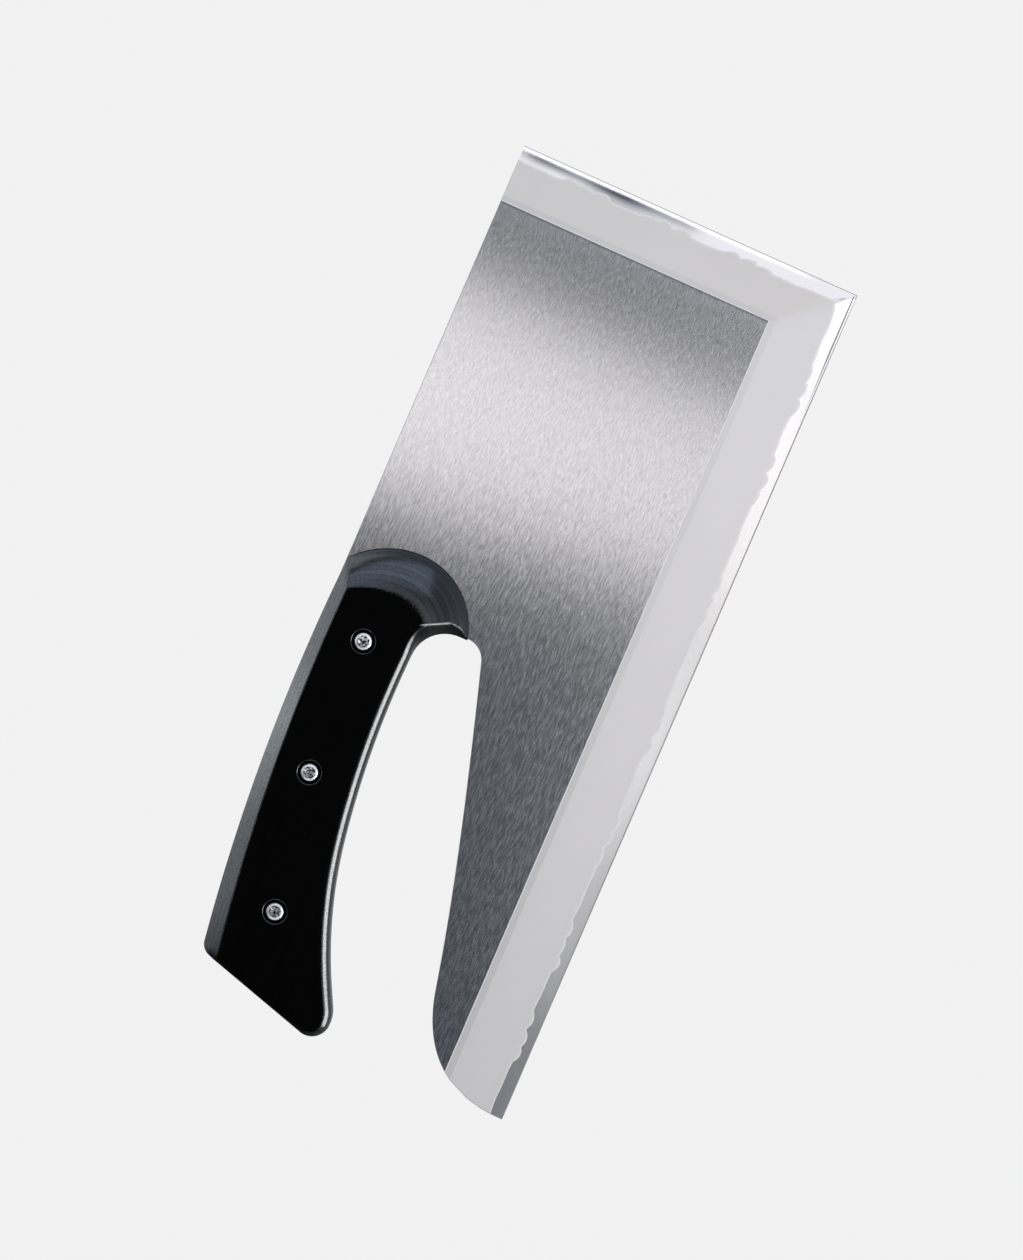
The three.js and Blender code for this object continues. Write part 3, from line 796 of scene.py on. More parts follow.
def makeBlade():
    b = blade
    sheet = Sheet()
    heel = heelCurve()
    heelY = np.array([p[1] for p in heel])[::-1]
    heelX = np.array([p[0] for p in heel])[::-1]
    alongFront = np.array([math.sin(b["rake"]), math.cos(b["rake"])])
    fromFront = np.array([-math.cos(b["rake"]), math.sin(b["rake"])])
    corner = np.array([b["edge"], 0.0])

    def heelAt(share):
        y = b["edgeBevel"] * share
        return np.array([np.interp(y, heelY, heelX), y])

    def frontAt(share, along):
        return corner + alongFront * along + fromFront * (b["frontBevel"] * share)

    def mitreAt(share):
        y = b["edgeBevel"] * share
        along = (y - b["frontBevel"] * share * math.sin(b["rake"])) / math.cos(b["rake"])
        return along, frontAt(share, along)

    def spineAlong(share):
        return (b["height"] - b["frontBevel"] * share * math.sin(b["rake"])) / math.cos(b["rake"])

    edgeColumns = int(b["edge"] / wave["column"])
    frontColumns = int(b["height"] / wave["column"])
    columns = [("edge", i / edgeColumns) for i in range(edgeColumns)]
    columns += [("front", i / frontColumns) for i in range(frontColumns + 1)]

    def spotAt(column, share):
        side, way = column
        along, mitre = mitreAt(share)
        if side == "edge":
            start = heelAt(share)
            return start + (mitre - start) * way
        return frontAt(share, along + (spineAlong(share) - along) * way)

    def rounding(past):
        return wave["cornerShare"] * max(0, 1 - max(0, past) / wave["cornerRadius"]) ** 2

    def waveShare(column):
        side = column[0]
        other = "front" if side == "edge" else "edge"
        x, y = spotAt(column, wave["measuredAt"])
        at = b["edge"] - x if side == "edge" else y
        width = b[f"{side}Bevel"]
        share = wave[f"{side}Depth"] / width + rounding(at - wave[f"{other}Depth"])
        lobes = waveLobes(at, wave[f"{side}Groups"]) / width
        start, fade = wave["cornerTurn"]
        turn = math.exp(-max(0.0, at - start) / fade)
        return share - lobes + (wave[f"{other}Depth"] / b[f"{other}Bevel"] - share) * 0.5 * turn

    def heightAt(column, share):
        # the two bevels run softly into each other at the mitre, sharp again at the flat
        x, y = spotAt(column, share)
        other = fromFront @ (np.array([x, y]) - corner) / b["frontBevel"]
        if column[0] == "front":
            other = y / b["edgeBevel"]
        soft = max(math.sin(math.pi * min(1, max(0, share))), b["cornerSoft"] - share)
        blend = b["mitreBlend"] / b["edgeBevel"] * soft
        swell = b["bulge"] * math.sin(math.pi * min(1, max(0, share / b["bulgeShare"])))
        share = float(softMin(share, other, blend))
        return -b["half"] + b["land"] + (2 * b["half"] - b["land"]) * share + swell

    rim, shade = {}, {}

    def edgeLines(column):
        # where the lines end, and how far the strip between them dips
        if column[0] == "front":
            return b["frontLines"], 0
        start, full = b["burr"]
        share = min(1, max(0, (spotAt(column, 0)[0] - start) / (full - start)))
        outer, strip, second = mixed(b["heelLines"], b["burrLines"], share)
        return (outer, strip, second + b["burrSwell"] * share ** 2), b["burrDip"] * share

    def columnRows(column):
        line = waveShare(column)
        drop = b["land"] - b["honedLand"]
        if column[0] == "front":
            left, fade = b["frontLand"]
            drop *= left + (1 - left) * math.exp(-spotAt(column, 0)[1] / fade)
        rows = [(0.0, heightAt(column, 0) - drop, 0, 0)]
        ends, dip = edgeLines(column)
        fine = [d / b["edgeBevel"] for d in ends]
        for share, sunk in zip(fine[:-1], (0, dip)):
            rows.append((share, heightAt(column, share) - sunk, 0, 0))
        for i in range(polishedRows + 1):
            share = fine[-1] + (line - fine[-1]) * i / polishedRows
            rows.append((share, heightAt(column, share), 1.0 if i == polishedRows else 0, 0))
        for offset, mark in highlightRows:
            share = line + offset / b[f"{column[0]}Bevel"]
            rows.append((share, heightAt(column, share), mark, 0))
        for distance, mark in plainRows + shadeRows:
            share = distance / b["edgeBevel"]
            rows.append((share, heightAt(column, share), 0, mark))
        rows.append((1.0, b["half"], 0, 1.0))
        return rows

    slots = [honedSlot, polishedSlot, honedSlot] + [polishedSlot] * polishedRows
    slots += [frostedSlot] * len(highlightRows + plainRows + shadeRows) + [ridgeSlot]
    grid = []

    def addColumn(column, nudge=0.0, sink=0.0):
        line = []
        for share, z, highlightMark, shadeMark in columnRows(column):
            ease = min(b["ease"], b["easeShare"] * (z + b["half"]))
            x, y = spotAt(column, share)
            if nudge:
                x, y = (x + ease, y) if column[0] == "edge" else (x, y - ease)
            v = sheet.point(x, y, z - sink * ease)
            rim[v], shade[v] = highlightMark, shadeMark
            line.append(v)
        grid.append(line)

    addColumn(columns[0], sink=1.0)
    addColumn(columns[0], nudge=1.0)
    for column in columns[1:-1]:
        addColumn(column)
    addColumn(columns[-1], nudge=1.0)
    addColumn(columns[-1], sink=1.0)
    rowCount = len(grid[0])
    outerRow = {line[0] for line in grid}
    for r in range(rowCount - 1):
        low = [line[r] for line in grid]
        high = [line[r + 1] for line in grid]
        sheet.strip(low, high, slots[r])
    burrFrom = toRow((b["burr"][0], 0, 0))[0]
    for f in sheet.mesh.faces:
        side = f.calc_center_median()
        isEdge = side.y < toRow((0, b["burrZone"], 0))[1] and side.x > burrFrom
        if f.material_index == honedSlot and f.verts[0] not in outerRow and not isEdge:
            f.material_index = polishedSlot

    # outline of the flat from the spine at the front end round to the heel
    gapX = handle["gap"] + b["tangInset"]
    throatCentre = np.array([gapX - b["throatRadius"], notchHeight - b["throatDrop"]])
    throatTurn = b["innerSlope"] - math.pi / 2
    throat = ("throat", throatCentre, b["throatRadius"], 0.0, throatTurn, 1)
    innerStart = onRun(throat, 1)
    shoulder = np.array(b["shoulder"])
    inner = bezier(
        innerStart,
        innerStart - direction(b["innerSlope"]) * b["innerPull"],
        shoulder + direction(b["shoulderSlope"]) * b["innerPull"],
        shoulder, b["innerSteps"])
    inset = b["tangInset"]
    crossing = math.sqrt((handle["backRadius"] - inset) ** 2 - (b["height"] - backCentre[1]) ** 2)
    tang = []
    for run in [*fingerRuns, cornerRun, backRun(backCentre[0] + crossing, inset)]:
        tang.append(sampled(run, b["tangStep"], inset))
    tang = joined(tang)[::-1]
    spineFrom = spotAt(columns[-1], 1.0)
    count = b["spineSteps"]
    spine = [spineFrom + (tang[0] - spineFrom) * i / count for i in range(1, count + 1)]
    heelRest = [p for p in heel if p[1] > b["edgeBevel"] + b["heelClear"]]
    throatLine = sampled(throat, b["throatStep"])
    chain = joined([spine, tang, throatLine, inner, heelRest[::b["heelThin"]]], b["leastStep"])

    flatRow = [line[-1] for line in grid]
    loop = [drawnPlace(v) for v in flatRow] + [tuple(p) for p in chain]
    inside = drawnIn(loop, b["ease"])[len(flatRow):]
    wallTop = [sheet.point(p[0], p[1], b["half"] - b["ease"]) for p in chain]
    faceRim = [sheet.point(p[0], p[1], b["half"]) for p in inside]
    sheet.strip([flatRow[-1], *wallTop, flatRow[0]], [flatRow[-2], *faceRim, flatRow[1]], groundSlot)

    holeTops, holeLows = (
        [sheet.ring(p, b["hole"], z, b["holeSteps"]) for p in screwPlaces.values()]
        for z in (b["half"], -b["half"]))
    sheet.fill([flatRow[1:-1] + faceRim, *holeTops], 1, brushedSlot)
    for low, high in zip(holeLows, holeTops):
        sheet.strip(high, low, groundSlot, closed=True)

    # sides and back
    outer = grid[0][:0:-1] + [line[0] for line in grid] + grid[-1][1:] + wallTop
    places = [drawnPlace(v) for v in outer]
    eases = [min(b["backEase"], b["easeShare"] * (v.co.z * 1000 - lift + b["half"])) for v in outer]
    under = drawnIn(places, eases)
    wallLow = [sheet.point(p[0], p[1], -b["half"] + e) for p, e in zip(places, eases)]
    backRim = [sheet.point(p[0], p[1], -b["half"]) for p in under]
    sheet.strip(wallLow, outer, groundSlot, closed=True)
    sheet.strip(backRim, wallLow, groundSlot, closed=True)
    sheet.fill([backRim, *holeLows], -1, brushedSlot)
    sheet.floats = {"waveHighlight": rim, "bevelShade": shade}
    obj = sheet.done("blade_ground", bladeFinish, b["sharpAngle"])
    uv = obj.data.uv_layers.new(name="brush")
    for corner in obj.data.loops:
        co = obj.data.vertices[corner.vertex_index].co
        uv.data[corner.index].uv = (co.y, co.x)
    return obj


bladePiece = makeBlade()
print("blade", len(bladePiece.data.polygons), "faces")


# Scales. One grid from the foot of the nose (station 0) to the butt, and from the back to the
# finger side. Its heights are the lowest of the flat face, the nose slope, the facet along the
# back and the rounding of the finger side and butt, blended where they meet.
scale = {
    "thickness": 10.0,
    "gripRound": (4.0, 4.2, 2.0),  # width, height, power
    "notchRound": (4.0, 10.0, 1.05),
    "beakRound": (8.2, 10.0, 1.05),
    "notchParts": (0.32, 0.45),  # where the beak's chamfer has narrowed and where it turns round
    "buttRound": (1.2, 1.2, 2.0),
    "cornerRound": (0.1, 1.2, 2.0),
    "sideSlope": 0.6,  # how the rounding goes on rising past its width
    "facetWall": 2.0,
    "facetFront": 4.0,
    "facetRear": 5.6,
    "facetPast": 4.0,  # its two widths are this far past the nose and the butt
    "noseReach": 20.2,
    "footDrop": 23.5,
    "footLower": 25.5,
    "footUpper": 30.0,
    "slopeLength": 16.2,
    "browDrop": 19.3,
    "browRadius": 28.0,
    "browLower": 19.5,  # its radius on the finger side
    "footAngle": math.radians(50),
    "browAngle": math.radians(14.5),
    "browBlend": 0.15,
    "facetBlend": 0.5,
    "ridgeBlend": 0.4,
    "ridgeFade": (120.0, 15.0, 0.05),  # x, length and least share of that blend
    "shadeDullNotch": (0.95, 0.29),  # share of the notch where the painted shade ends, and its fade
    "shadeDullSide": (0.8, 82.0, 1.5),  # fade into the side, y below which it goes on, and by how much
    "shadeDullButt": (30.0, 1.4, 2.5),  # x where it ends, and its fade from the outline
    "sleevePocket": 4.0,  # depth of the front scale's hole for the sleeve nut
    "behindBrow": (137.5, 0.74),  # x on the back, share of the notch
    "noseStations": 36,
    "noseClose": (0.004, 0.012, 0.986, 0.994),  # extra ones at its ends
    "browStations": 9,
    "browClose": (0.025, 0.06),
    "bodyStations": 84,
    "bodyLength": 130.0,  # about
    "cornerStations": (10.0, 2.5, 26),  # extra ones before the butt: from, to, count
    "middleLines": 40,
    "cornerLines": 4.1,  # lines nearer to the back than this close up at the butt's corner
    "cornerStep": 0.3,
    "backStep": 0.5,
    "fingerStep": 0.4,
    "chainStep": 0.5,  # of the outline that the rounding follows, and the fewest on a run
    "chainFewest": 6,
    "arcSteps": (80, 110, 160),  # upper foot, lower foot, brow
    "searchReach": 0.6,  # of the way across
    "searchSteps": 22,
    "overFace": 5.0,  # behind the brow the nose's slope has no say
    "boreSteps": 64,
    "sharpAngle": math.radians(38),
}
backInsets = (0, 0.12, 0.3, 0.8, 1.8, 2.8, 3.5, 3.8, 4.0, 4.2, 4.4, 4.6, 4.8, 5.0, 5.2, 5.4, 5.6, 5.8,
              6.0, 6.4, 7.2, 8.2)
buttInsets = (2.2, 1.6, 1.2, 0.9, 0.65, 0.45, 0.28, 0.15, 0.06, 0)
fingerInsets = (7.5, 6.6, 5.9, 5.3, 4.8, 4.3, 3.8, 3.3, 2.8, 2.35, 1.95, 1.6, 1.28, 1.0, 0.75, 0.54,
                0.37, 0.23, 0.13, 0.05, 0)
counterbore = {"radius": 4.0, "rim": 0.3, "depth": 3.0, "screwHole": 1.7}
thinnest = 0.02  # a lower rim has no wall under it
noseX = handle["gap"] + scale["noseReach"]
footY = top - scale["footDrop"]
browCentre = np.array([noseX - scale["slopeLength"] - scale["browRadius"], top - scale["browDrop"]])
browLow = browCentre + np.array([scale["browRadius"] - scale["browLower"], 0])
footHigh, footLow = (np.array([noseX - scale[key], footY]) for key in ("footUpper", "footLower"))


def roundAt(name, share):
    grip, notch, butt = scale["gripRound"], scale["notchRound"], scale["buttRound"]
    if name == "beak":
        return scale["beakRound"]
    if name == "notch":
        narrowed, turning = scale["notchParts"]
        chamfer = mixed(scale["beakRound"], notch, min(1, share / narrowed))
        return mixed(chamfer, grip, max(0, (share - turning) / (1 - turning)))
    if name == "toe":
        return mixed(grip, butt, share)
    if name == "butt":
        return butt
    if name == "corner":
        return mixed(butt, scale["cornerRound"], share)
    return grip


def shadeDullAt(name, share):
    # painted shade: the beak's chamfer and the butt are darkened and have no gloss
    if name == "notch":
        end, fade = scale["shadeDullNotch"]
        return min(1, max(0, (end - share) / fade))
    if name == "corner":
        return max(0, 1 - 2 * share)
    return {"beak": 1.0, "toe": share, "butt": 1.0}.get(name, 0.0)


def nearest(points, line):
    # distance to a polyline, and the place on it as a fractional index
    a, b = line[:-1], line[1:]
    along = b - a
    size = (along ** 2).sum(axis=1)
    best = np.full(len(points), np.inf)
    where = np.zeros(len(points))
    for i in range(len(a)):
        t = np.clip(((points - a[i]) @ along[i]) / size[i], 0, 1)
        d = np.linalg.norm(points - a[i] - t[:, None] * along[i], axis=1)
        closer = d < best
        best[closer] = d[closer]
        where[closer] = i + t[closer]
    return best, where


def alongLine(points, shares):
    points = np.asarray(points)
    steps = np.linalg.norm(np.diff(points, axis=0), axis=1)
    way = np.concatenate([[0], np.cumsum(steps)]) / steps.sum()
    return np.stack([np.interp(shares, way, points[:, i]) for i in (0, 1)], axis=-1)


def lastAngle(isPast):
    low, high = 0.2, 1.45
    for _ in range(60):
        mid = (low + high) / 2
        low, high = (low, mid) if isPast(mid) else (mid, high)
    return low


def pastBack(p):
    return np.linalg.norm(p - backCentre) > handle["backRadius"]


def noseFoot():
    # from the back down to the beak
    def upper(angle):
        return footHigh + scale["footUpper"] * direction(angle)

    steps, lowSteps, _ = scale["arcSteps"]
    end = math.acos((handle["gap"] - footLow[0]) / scale["footLower"])
    start = lastAngle(lambda angle: pastBack(upper(angle)))
    pts = [upper(a) for a in np.linspace(start, 0, steps)]
    pts += [footLow + scale["footLower"] * direction(-a) for a in np.linspace(0, end, lowSteps)[1:]]
    return np.array(pts)


def browLine():
    # from the back down to the notch
    def spot(angle):
        if angle < 0:
            return browLow + scale["browLower"] * direction(angle)
        return browCentre + scale["browRadius"] * direction(angle)

    def inNotch(p):
        return np.linalg.norm(p - fingerRuns[0][1]) < handle["notchRadius"]

    start = lastAngle(lambda angle: pastBack(spot(angle)))
    end = -lastAngle(lambda angle: inNotch(spot(-angle)))
    return np.array([spot(a) for a in np.linspace(start, end, scale["arcSteps"][2])])


foot = noseFoot()
brow = browLine()
beakRun = ("beak", foot[-1], onRun(fingerRuns[0], 0), np.array([1.0, 0.0]))


def roundedChain():
    pts, sizes = [], []
    for run in [beakRun, *fingerRuns, buttRun, cornerRun]:
        count = max(scale["chainFewest"], int(runLength(run) / scale["chainStep"]))
        for i in range(count + 1):
            p = onRun(run, i / count)
            if pts and np.linalg.norm(p - pts[-1]) < 1e-4:
                continue
            pts.append(p)
            sizes.append((*roundAt(run[0], i / count), shadeDullAt(run[0], i / count)))
    return np.array(pts), np.array(sizes)


chainLine, chainSizes = roundedChain()


def noseHeight(p):
    low = scale["footLower"] - np.linalg.norm(p - footLow, axis=1)
    high = scale["footUpper"] - np.linalg.norm(p - footHigh, axis=1)
    fromFoot = np.maximum(0, np.where(p[:, 1] < footY, low, high))
    pastUpper = np.linalg.norm(p - browCentre, axis=1) - scale["browRadius"]
    pastLower = np.linalg.norm(p - browLow, axis=1) - scale["browLower"]
    pastBrow = np.where(p[:, 1] < browCentre[1], pastLower, pastUpper)
    share = np.clip(fromFoot / np.maximum(1e-6, fromFoot + np.maximum(0, pastBrow)), 0, 1)
    a, b = scale["footAngle"], scale["browAngle"]
    slope = np.arcsin(math.sin(a) - share * (math.sin(a) - math.sin(b)))
    rise = (np.cos(slope) - math.cos(a)) / (math.cos(b) - math.cos(a))
    z = scale["thickness"] * rise + np.maximum(0, -pastBrow) * math.tan(b)
    return np.where(p[:, 0] < browCentre[0], scale["thickness"] + scale["overFace"], z)


def heightOver(p):
    # height over the steel, and how much painted shade dulls the surface
    s = scale
    thick = s["thickness"]
    d, where = nearest(p, chainLine)
    places = range(len(chainSizes))
    width, tall, power, shadeDull = (np.interp(where, places, chainSizes[:, i]) for i in range(4))
    rise = (1 - np.clip(1 - d / width, 0, 1) ** power) ** (1 / power)
    side = thick - tall * (1 - rise) + s["sideSlope"] * np.maximum(0, d - width)
    fromBack = handle["backRadius"] - np.linalg.norm(p - backCentre, axis=1)
    rear, front = -s["facetPast"], noseX + s["facetPast"]
    share = (p[:, 0] - rear) / (front - rear)
    facetWidth = s["facetRear"] + (s["facetFront"] - s["facetRear"]) * share
    facet = s["facetWall"] + (thick - s["facetWall"]) * np.maximum(0, fromBack) / facetWidth
    nose = noseHeight(p)
    low = np.clip(np.minimum(nose, side) / 2, 0, 1)
    z = softMin(np.full(len(p), thick), nose, s["browBlend"])
    z = softMin(z, facet, s["facetBlend"] * low)
    start, length, least = s["ridgeFade"]
    ridge = np.clip((p[:, 0] - start) / length, least, 1)
    z = softMin(z, side, s["ridgeBlend"] * low * ridge)
    fade, below, more = s["shadeDullSide"]
    pastRidge = more * np.clip(below - p[:, 1], 0, 1)
    onSide = np.clip((np.minimum(nose, thick) - side) / fade + pastRidge, 0, 1)
    end, full, fade = s["shadeDullButt"]
    nearButt = np.where(p[:, 0] < end, np.clip(full - d / fade, 0, 1), 0)
    return np.maximum(0, z), shadeDull * np.maximum(onSide, nearButt)


def makeScale(name, sleeveDepth, flip):
    s = scale
    thick = s["thickness"]
    backX, notchShare = s["behindBrow"]
    corner, back = sampled(cornerRun, s["cornerStep"]), sampled(backRun(foot[0][0]), s["backStep"])
    backLine = np.array(joined([corner, back]))[::-1]
    fingerLine = np.array(joined([sampled(run, s["fingerStep"]) for run in [beakRun, *fingerRuns]]))
    noseWay = np.linspace(0, 1, s["noseStations"] + 1)
    noseWay = np.unique(np.concatenate([noseWay, s["noseClose"]]))
    browWay = np.concatenate([s["browClose"], np.linspace(0, 1, s["browStations"] + 1)[1:]])
    bodyWay = np.linspace(0, 1, s["bodyStations"] + 1)[1:-1]
    nearEnd = np.concatenate([np.linspace(*s["cornerStations"]), buttInsets]) / s["bodyLength"]
    bodyWay = np.concatenate([bodyWay, 1 - nearEnd])
    bodyWay = np.unique(np.round(np.sort(bodyWay), 6))

    def endsOn(line, stops):
        cuts = [int(np.argmin(np.linalg.norm(line - p, axis=1))) for p in stops]
        parts = [line[:cuts[0] + 1], line[cuts[0]:cuts[1] + 1], line[cuts[1]:]]
        ways = (noseWay, browWay, bodyWay)
        return np.concatenate([alongLine(part, way) for part, way in zip(parts, ways)])

    behindBack = backLine[np.argmin(abs(backLine[:, 0] - backX))]
    backEnds = endsOn(backLine, (brow[0], behindBack))
    fingerEnds = endsOn(fingerLine, (brow[-1], onRun(fingerRuns[0], notchShare)))
    noBend = np.zeros(len(bodyWay))
    footBend = np.concatenate([1 - noseWay, 0 * browWay, noBend])
    browBend = np.concatenate([noseWay, 1 - browWay, noBend])
    stations = len(footBend)

    def bend(arc, t):
        chord = arc[0] + (arc[-1] - arc[0]) * t[..., None]
        return alongLine(arc, t.ravel()).reshape(*t.shape, 2) - chord

    def curve(t):
        # t has a row of shares for each station
        base = backEnds[:, None] + (fingerEnds - backEnds)[:, None] * t[..., None]
        return base + footBend[:, None, None] * bend(foot, t) + browBend[:, None, None] * bend(brow, t)

    def sharesAt(away, wanted, fromFinger):
        # wanted has a row of insets for each station, away gives the distances of points
        low = np.zeros(wanted.shape)
        high = np.full(wanted.shape, s["searchReach"])
        for _ in range(s["searchSteps"]):
            mid = (low + high) / 2
            pts = curve(1 - mid if fromFinger else mid)
            d = away(pts.reshape(-1, 2)).reshape(mid.shape)
            low, high = np.where(d < wanted, mid, low), np.where(d < wanted, high, mid)
        found = (low + high) / 2
        found[:, -1 if fromFinger else 0] = 0
        return 1 - found if fromFinger else found

    def fromBack(points):
        return handle["backRadius"] - np.linalg.norm(points - backCentre, axis=1)

    insets = np.array(backInsets)[None, :]
    begin = np.maximum(0, fromBack(backEnds))[:, None]  # more than 0 on the rounded corner
    free = s["cornerLines"]
    insets = np.where(insets < free, begin + insets * (1 - begin / free), insets)
    tBack = sharesAt(fromBack, insets, False)
    insets = np.repeat(np.array(fingerInsets)[None, :], stations, axis=0)
    tFinger = sharesAt(lambda points: nearest(points, fingerLine)[0], insets, True)
    steps = np.linspace(0, 1, s["middleLines"] + 2)[1:-1]
    tMiddle = tBack[:, -1:] + (tFinger[:, :1] - tBack[:, -1:]) * steps
    shares = np.concatenate([tBack, tMiddle, tFinger], axis=1)
    spots = curve(shares)
    heights, shadeDull = (found.reshape(shares.shape) for found in heightOver(spots.reshape(-1, 2)))
    heights[0] = 0
    lines = shares.shape[1]
    sign = -1 if flip else 1
    base = blade["half"]
    sheet = Sheet()

    def put(x, y, z):
        return sheet.point(x, y, sign * (base + z))

    grid = [[put(*spots[k, j], heights[k, j]) for j in range(lines)] for k in range(stations)]
    first = len(noseWay) + len(browWay) - 1
    last = stations - len(buttInsets) - 1
    left = len(backInsets) - 1
    right = len(backInsets) + s["middleLines"]
    for k in range(stations - 1):
        for j in range(lines - 1):
            if first <= k < last and left <= j < right:
                continue
            corners = (grid[k][j], grid[k + 1][j], grid[k + 1][j + 1], grid[k][j + 1])
            sheet.face(corners if not flip else corners[::-1])
    around = grid[first][left:right + 1] + [grid[k][right] for k in range(first + 1, last + 1)]
    around += grid[last][left:right][::-1] + [grid[k][left] for k in range(last - 1, first, -1)]

    edge = grid[0][:-1] + [grid[k][-1] for k in range(stations - 1)]
    edge += grid[-1][::-1][:-1] + [grid[k][0] for k in range(stations - 1, 0, -1)]
    floor = []
    for v in edge:
        z = sign * (v.co.z * 1000 - lift) - base
        low = v.co.copy()
        low.z = (sign * base + lift) / 1000
        floor.append(v if z < thinnest else sheet.mesh.verts.new(low))
    sheet.strip(*((edge, floor) if not flip else (floor, edge)), closed=True)

    seat = thick - counterbore["depth"]
    wide, soft, hole = counterbore["radius"], counterbore["rim"], blade["hole"]
    profile = []
    for a in np.linspace(0, math.pi / 2, 5):
        profile.append((wide + soft * (1 - math.sin(a)), thick - soft * (1 - math.cos(a))))
    profile.append((wide, seat))
    if sleeveDepth < seat:
        narrow = counterbore["screwHole"]
        profile += [(narrow, seat), (narrow, sleeveDepth), (hole, sleeveDepth), (hole, 0)]
    else:
        profile += [(hole, seat), (hole, 0)]
    mouths, ends = [], []
    for centre in screwPlaces.values():
        rings = [sheet.ring(centre, r, sign * (base + z), s["boreSteps"], sign) for r, z in profile]
        for high, low in zip(rings, rings[1:]):
            sheet.strip(high, low, closed=True)
        mouths.append(rings[0])
        ends.append(rings[-1])
    sheet.fill([around, *mouths], sign)
    sheet.fill([floor, *ends], -sign)
    spare = [v for v in sheet.mesh.verts if not v.link_faces]
    bmesh.ops.delete(sheet.mesh, geom=spare, context="VERTS")
    marked = ((grid[k][j], shadeDull[k, j]) for k in range(stations) for j in range(lines))
    sheet.floats["shadeDull"] = {v: mark for v, mark in marked if v.is_valid}
    bmesh.ops.recalc_face_normals(sheet.mesh, faces=sheet.mesh.faces[:])
    return sheet.done(name, [laminateFinish], s["sharpAngle"])


frontScale = makeScale("front_scale_shaped", scale["sleevePocket"], False)
backScale = makeScale("back_scale_shaped", scale["thickness"], True)
print("scales", len(frontScale.data.polygons), "faces each")


# Fasteners: turned round z with the seat of the head at 0, then cut for the driver.
fastener = {
    "head": 3.0,
    "tall": 2.2,
    "edge": 0.6,
    "shank": 1.5,
    "sleeve": 2.1,
    "bore": 1.65,
    "shankLength": 15.5,
    "tip": 0.3,  # chamfer on the shank's end
    "sleeveLength": 13.5,
    "sleeveFloor": 1.0,
    "cross": (4.2, 1.7, 1.2),  # length, width, depth
    "crossLow": (0.6, 0.75),  # its length and width at the bottom, as shares
    "crossHigh": (1.33, 1.2),  # and as far over the head
    "recess": 2.3,  # reach of the driver's cut
    "recessDeep": (0.15, 1.5),
    "crown": 1.95,  # flattest part of the head
    "crownRise": (0.12, 0.03),  # below the top, at its rounded edge and at the crown
    "slot": (0.9, 0.9),
    "steps": 64,
    "sharpAngle": math.radians(30),
}
seat = blade["half"] + scale["thickness"] - counterbore["depth"]  # from the middle of the steel


def turned(name, profile):
    mesh = bmesh.new()
    count = fastener["steps"]
    rings = []
    for r, z in profile:
        if r == 0:
            rings.append([mesh.verts.new((0, 0, z))] * count)
            continue
        rings.append([mesh.verts.new((*(direction(2 * math.pi * i / count) * r), z)) for i in range(count)])
    for a, b in zip(rings, rings[1:]):
        for i in range(count):
            n = (i + 1) % count
            corners = [a[i], a[n], b[n], b[i]]
            corners = [c for k, c in enumerate(corners) if c is not corners[k - 1]]
            mesh.faces.new(corners)
    bmesh.ops.recalc_face_normals(mesh, faces=mesh.faces[:])
    return meshObject(name, mesh)


def prism(outlineLow, outlineHigh, low, high):
    mesh = bmesh.new()
    a = [mesh.verts.new((x, y, low)) for x, y in outlineLow]
    b = [mesh.verts.new((x, y, high)) for x, y in outlineHigh]
    mesh.faces.new(a[::-1])
    mesh.faces.new(b)
    for i in range(len(a)):
        n = (i + 1) % len(a)
        mesh.faces.new((a[i], a[n], b[n], b[i]))
    return meshObject("cutter", mesh)


def crossOutline(length, width):
    a, b = length / 2, width / 2
    arm = [(a, -b), (a, b), (b, b)]
    out = []
    for c, s in ((1, 0), (0, 1), (-1, 0), (0, -1)):
        out += [(c * x - s * y, s * x + c * y) for x, y in arm]
    return out


def cutFrom(obj, cutter):
    step = obj.modifiers.new("cut", "BOOLEAN")
    step.operation = "DIFFERENCE"
    step.solver = "EXACT"
    step.object = cutter
    made = bpy.data.meshes.new_from_object(obj.evaluated_get(bpy.context.evaluated_depsgraph_get()))
    obj.modifiers.clear()
    obj.data = made
    bpy.data.objects.remove(cutter)


def finishFastener(obj, name, place, z, turn):
    mesh = bmesh.new()
    mesh.from_mesh(obj.data)
    c, s = math.cos(turn), math.sin(turn)
    for v in mesh.verts:
        x, y = c * v.co.x - s * v.co.y, s * v.co.x + c * v.co.y
        v.co = toRow((x + place[0], y + place[1], v.co.z + z))
    mesh.normal_update()
    for f in mesh.faces:
        f.smooth = True
        out = f.calc_center_median() * 1000 - Vector(toRow((*place, z))) * 1000
        deep = fastener["tall"] - abs(out.z)
        shallow, deepest = fastener["recessDeep"]
        sunk = shallow < deep < deepest and out.xy.length < fastener["recess"]
        # the driver's cuts, and the crown of a screw head, take the painted shade and glints
        f.material_index = sunk or (z > 0 and deep < shallow and out.xy.length < fastener["crown"])
    for e in mesh.edges:
        e.smooth = len(e.link_faces) == 2 and e.calc_face_angle(0) < fastener["sharpAngle"]
    mesh.to_mesh(obj.data)
    mesh.free()
    obj.name = name
    for finish in fastenerFinish:
        obj.data.materials.append(finish)
    return obj


def roundedHead(sign):
    f = fastener
    atEdge, atCrown = f["crownRise"]
    pts = []
    for a in np.linspace(0, math.pi / 2, 7):
        r = f["head"] - f["edge"] * (1 - math.cos(a))
        pts.append((r, sign * (f["tall"] - atEdge - f["edge"] * (1 - math.sin(a)))))
    return pts + [(f["crown"], sign * (f["tall"] - atCrown)), (0, sign * f["tall"])]


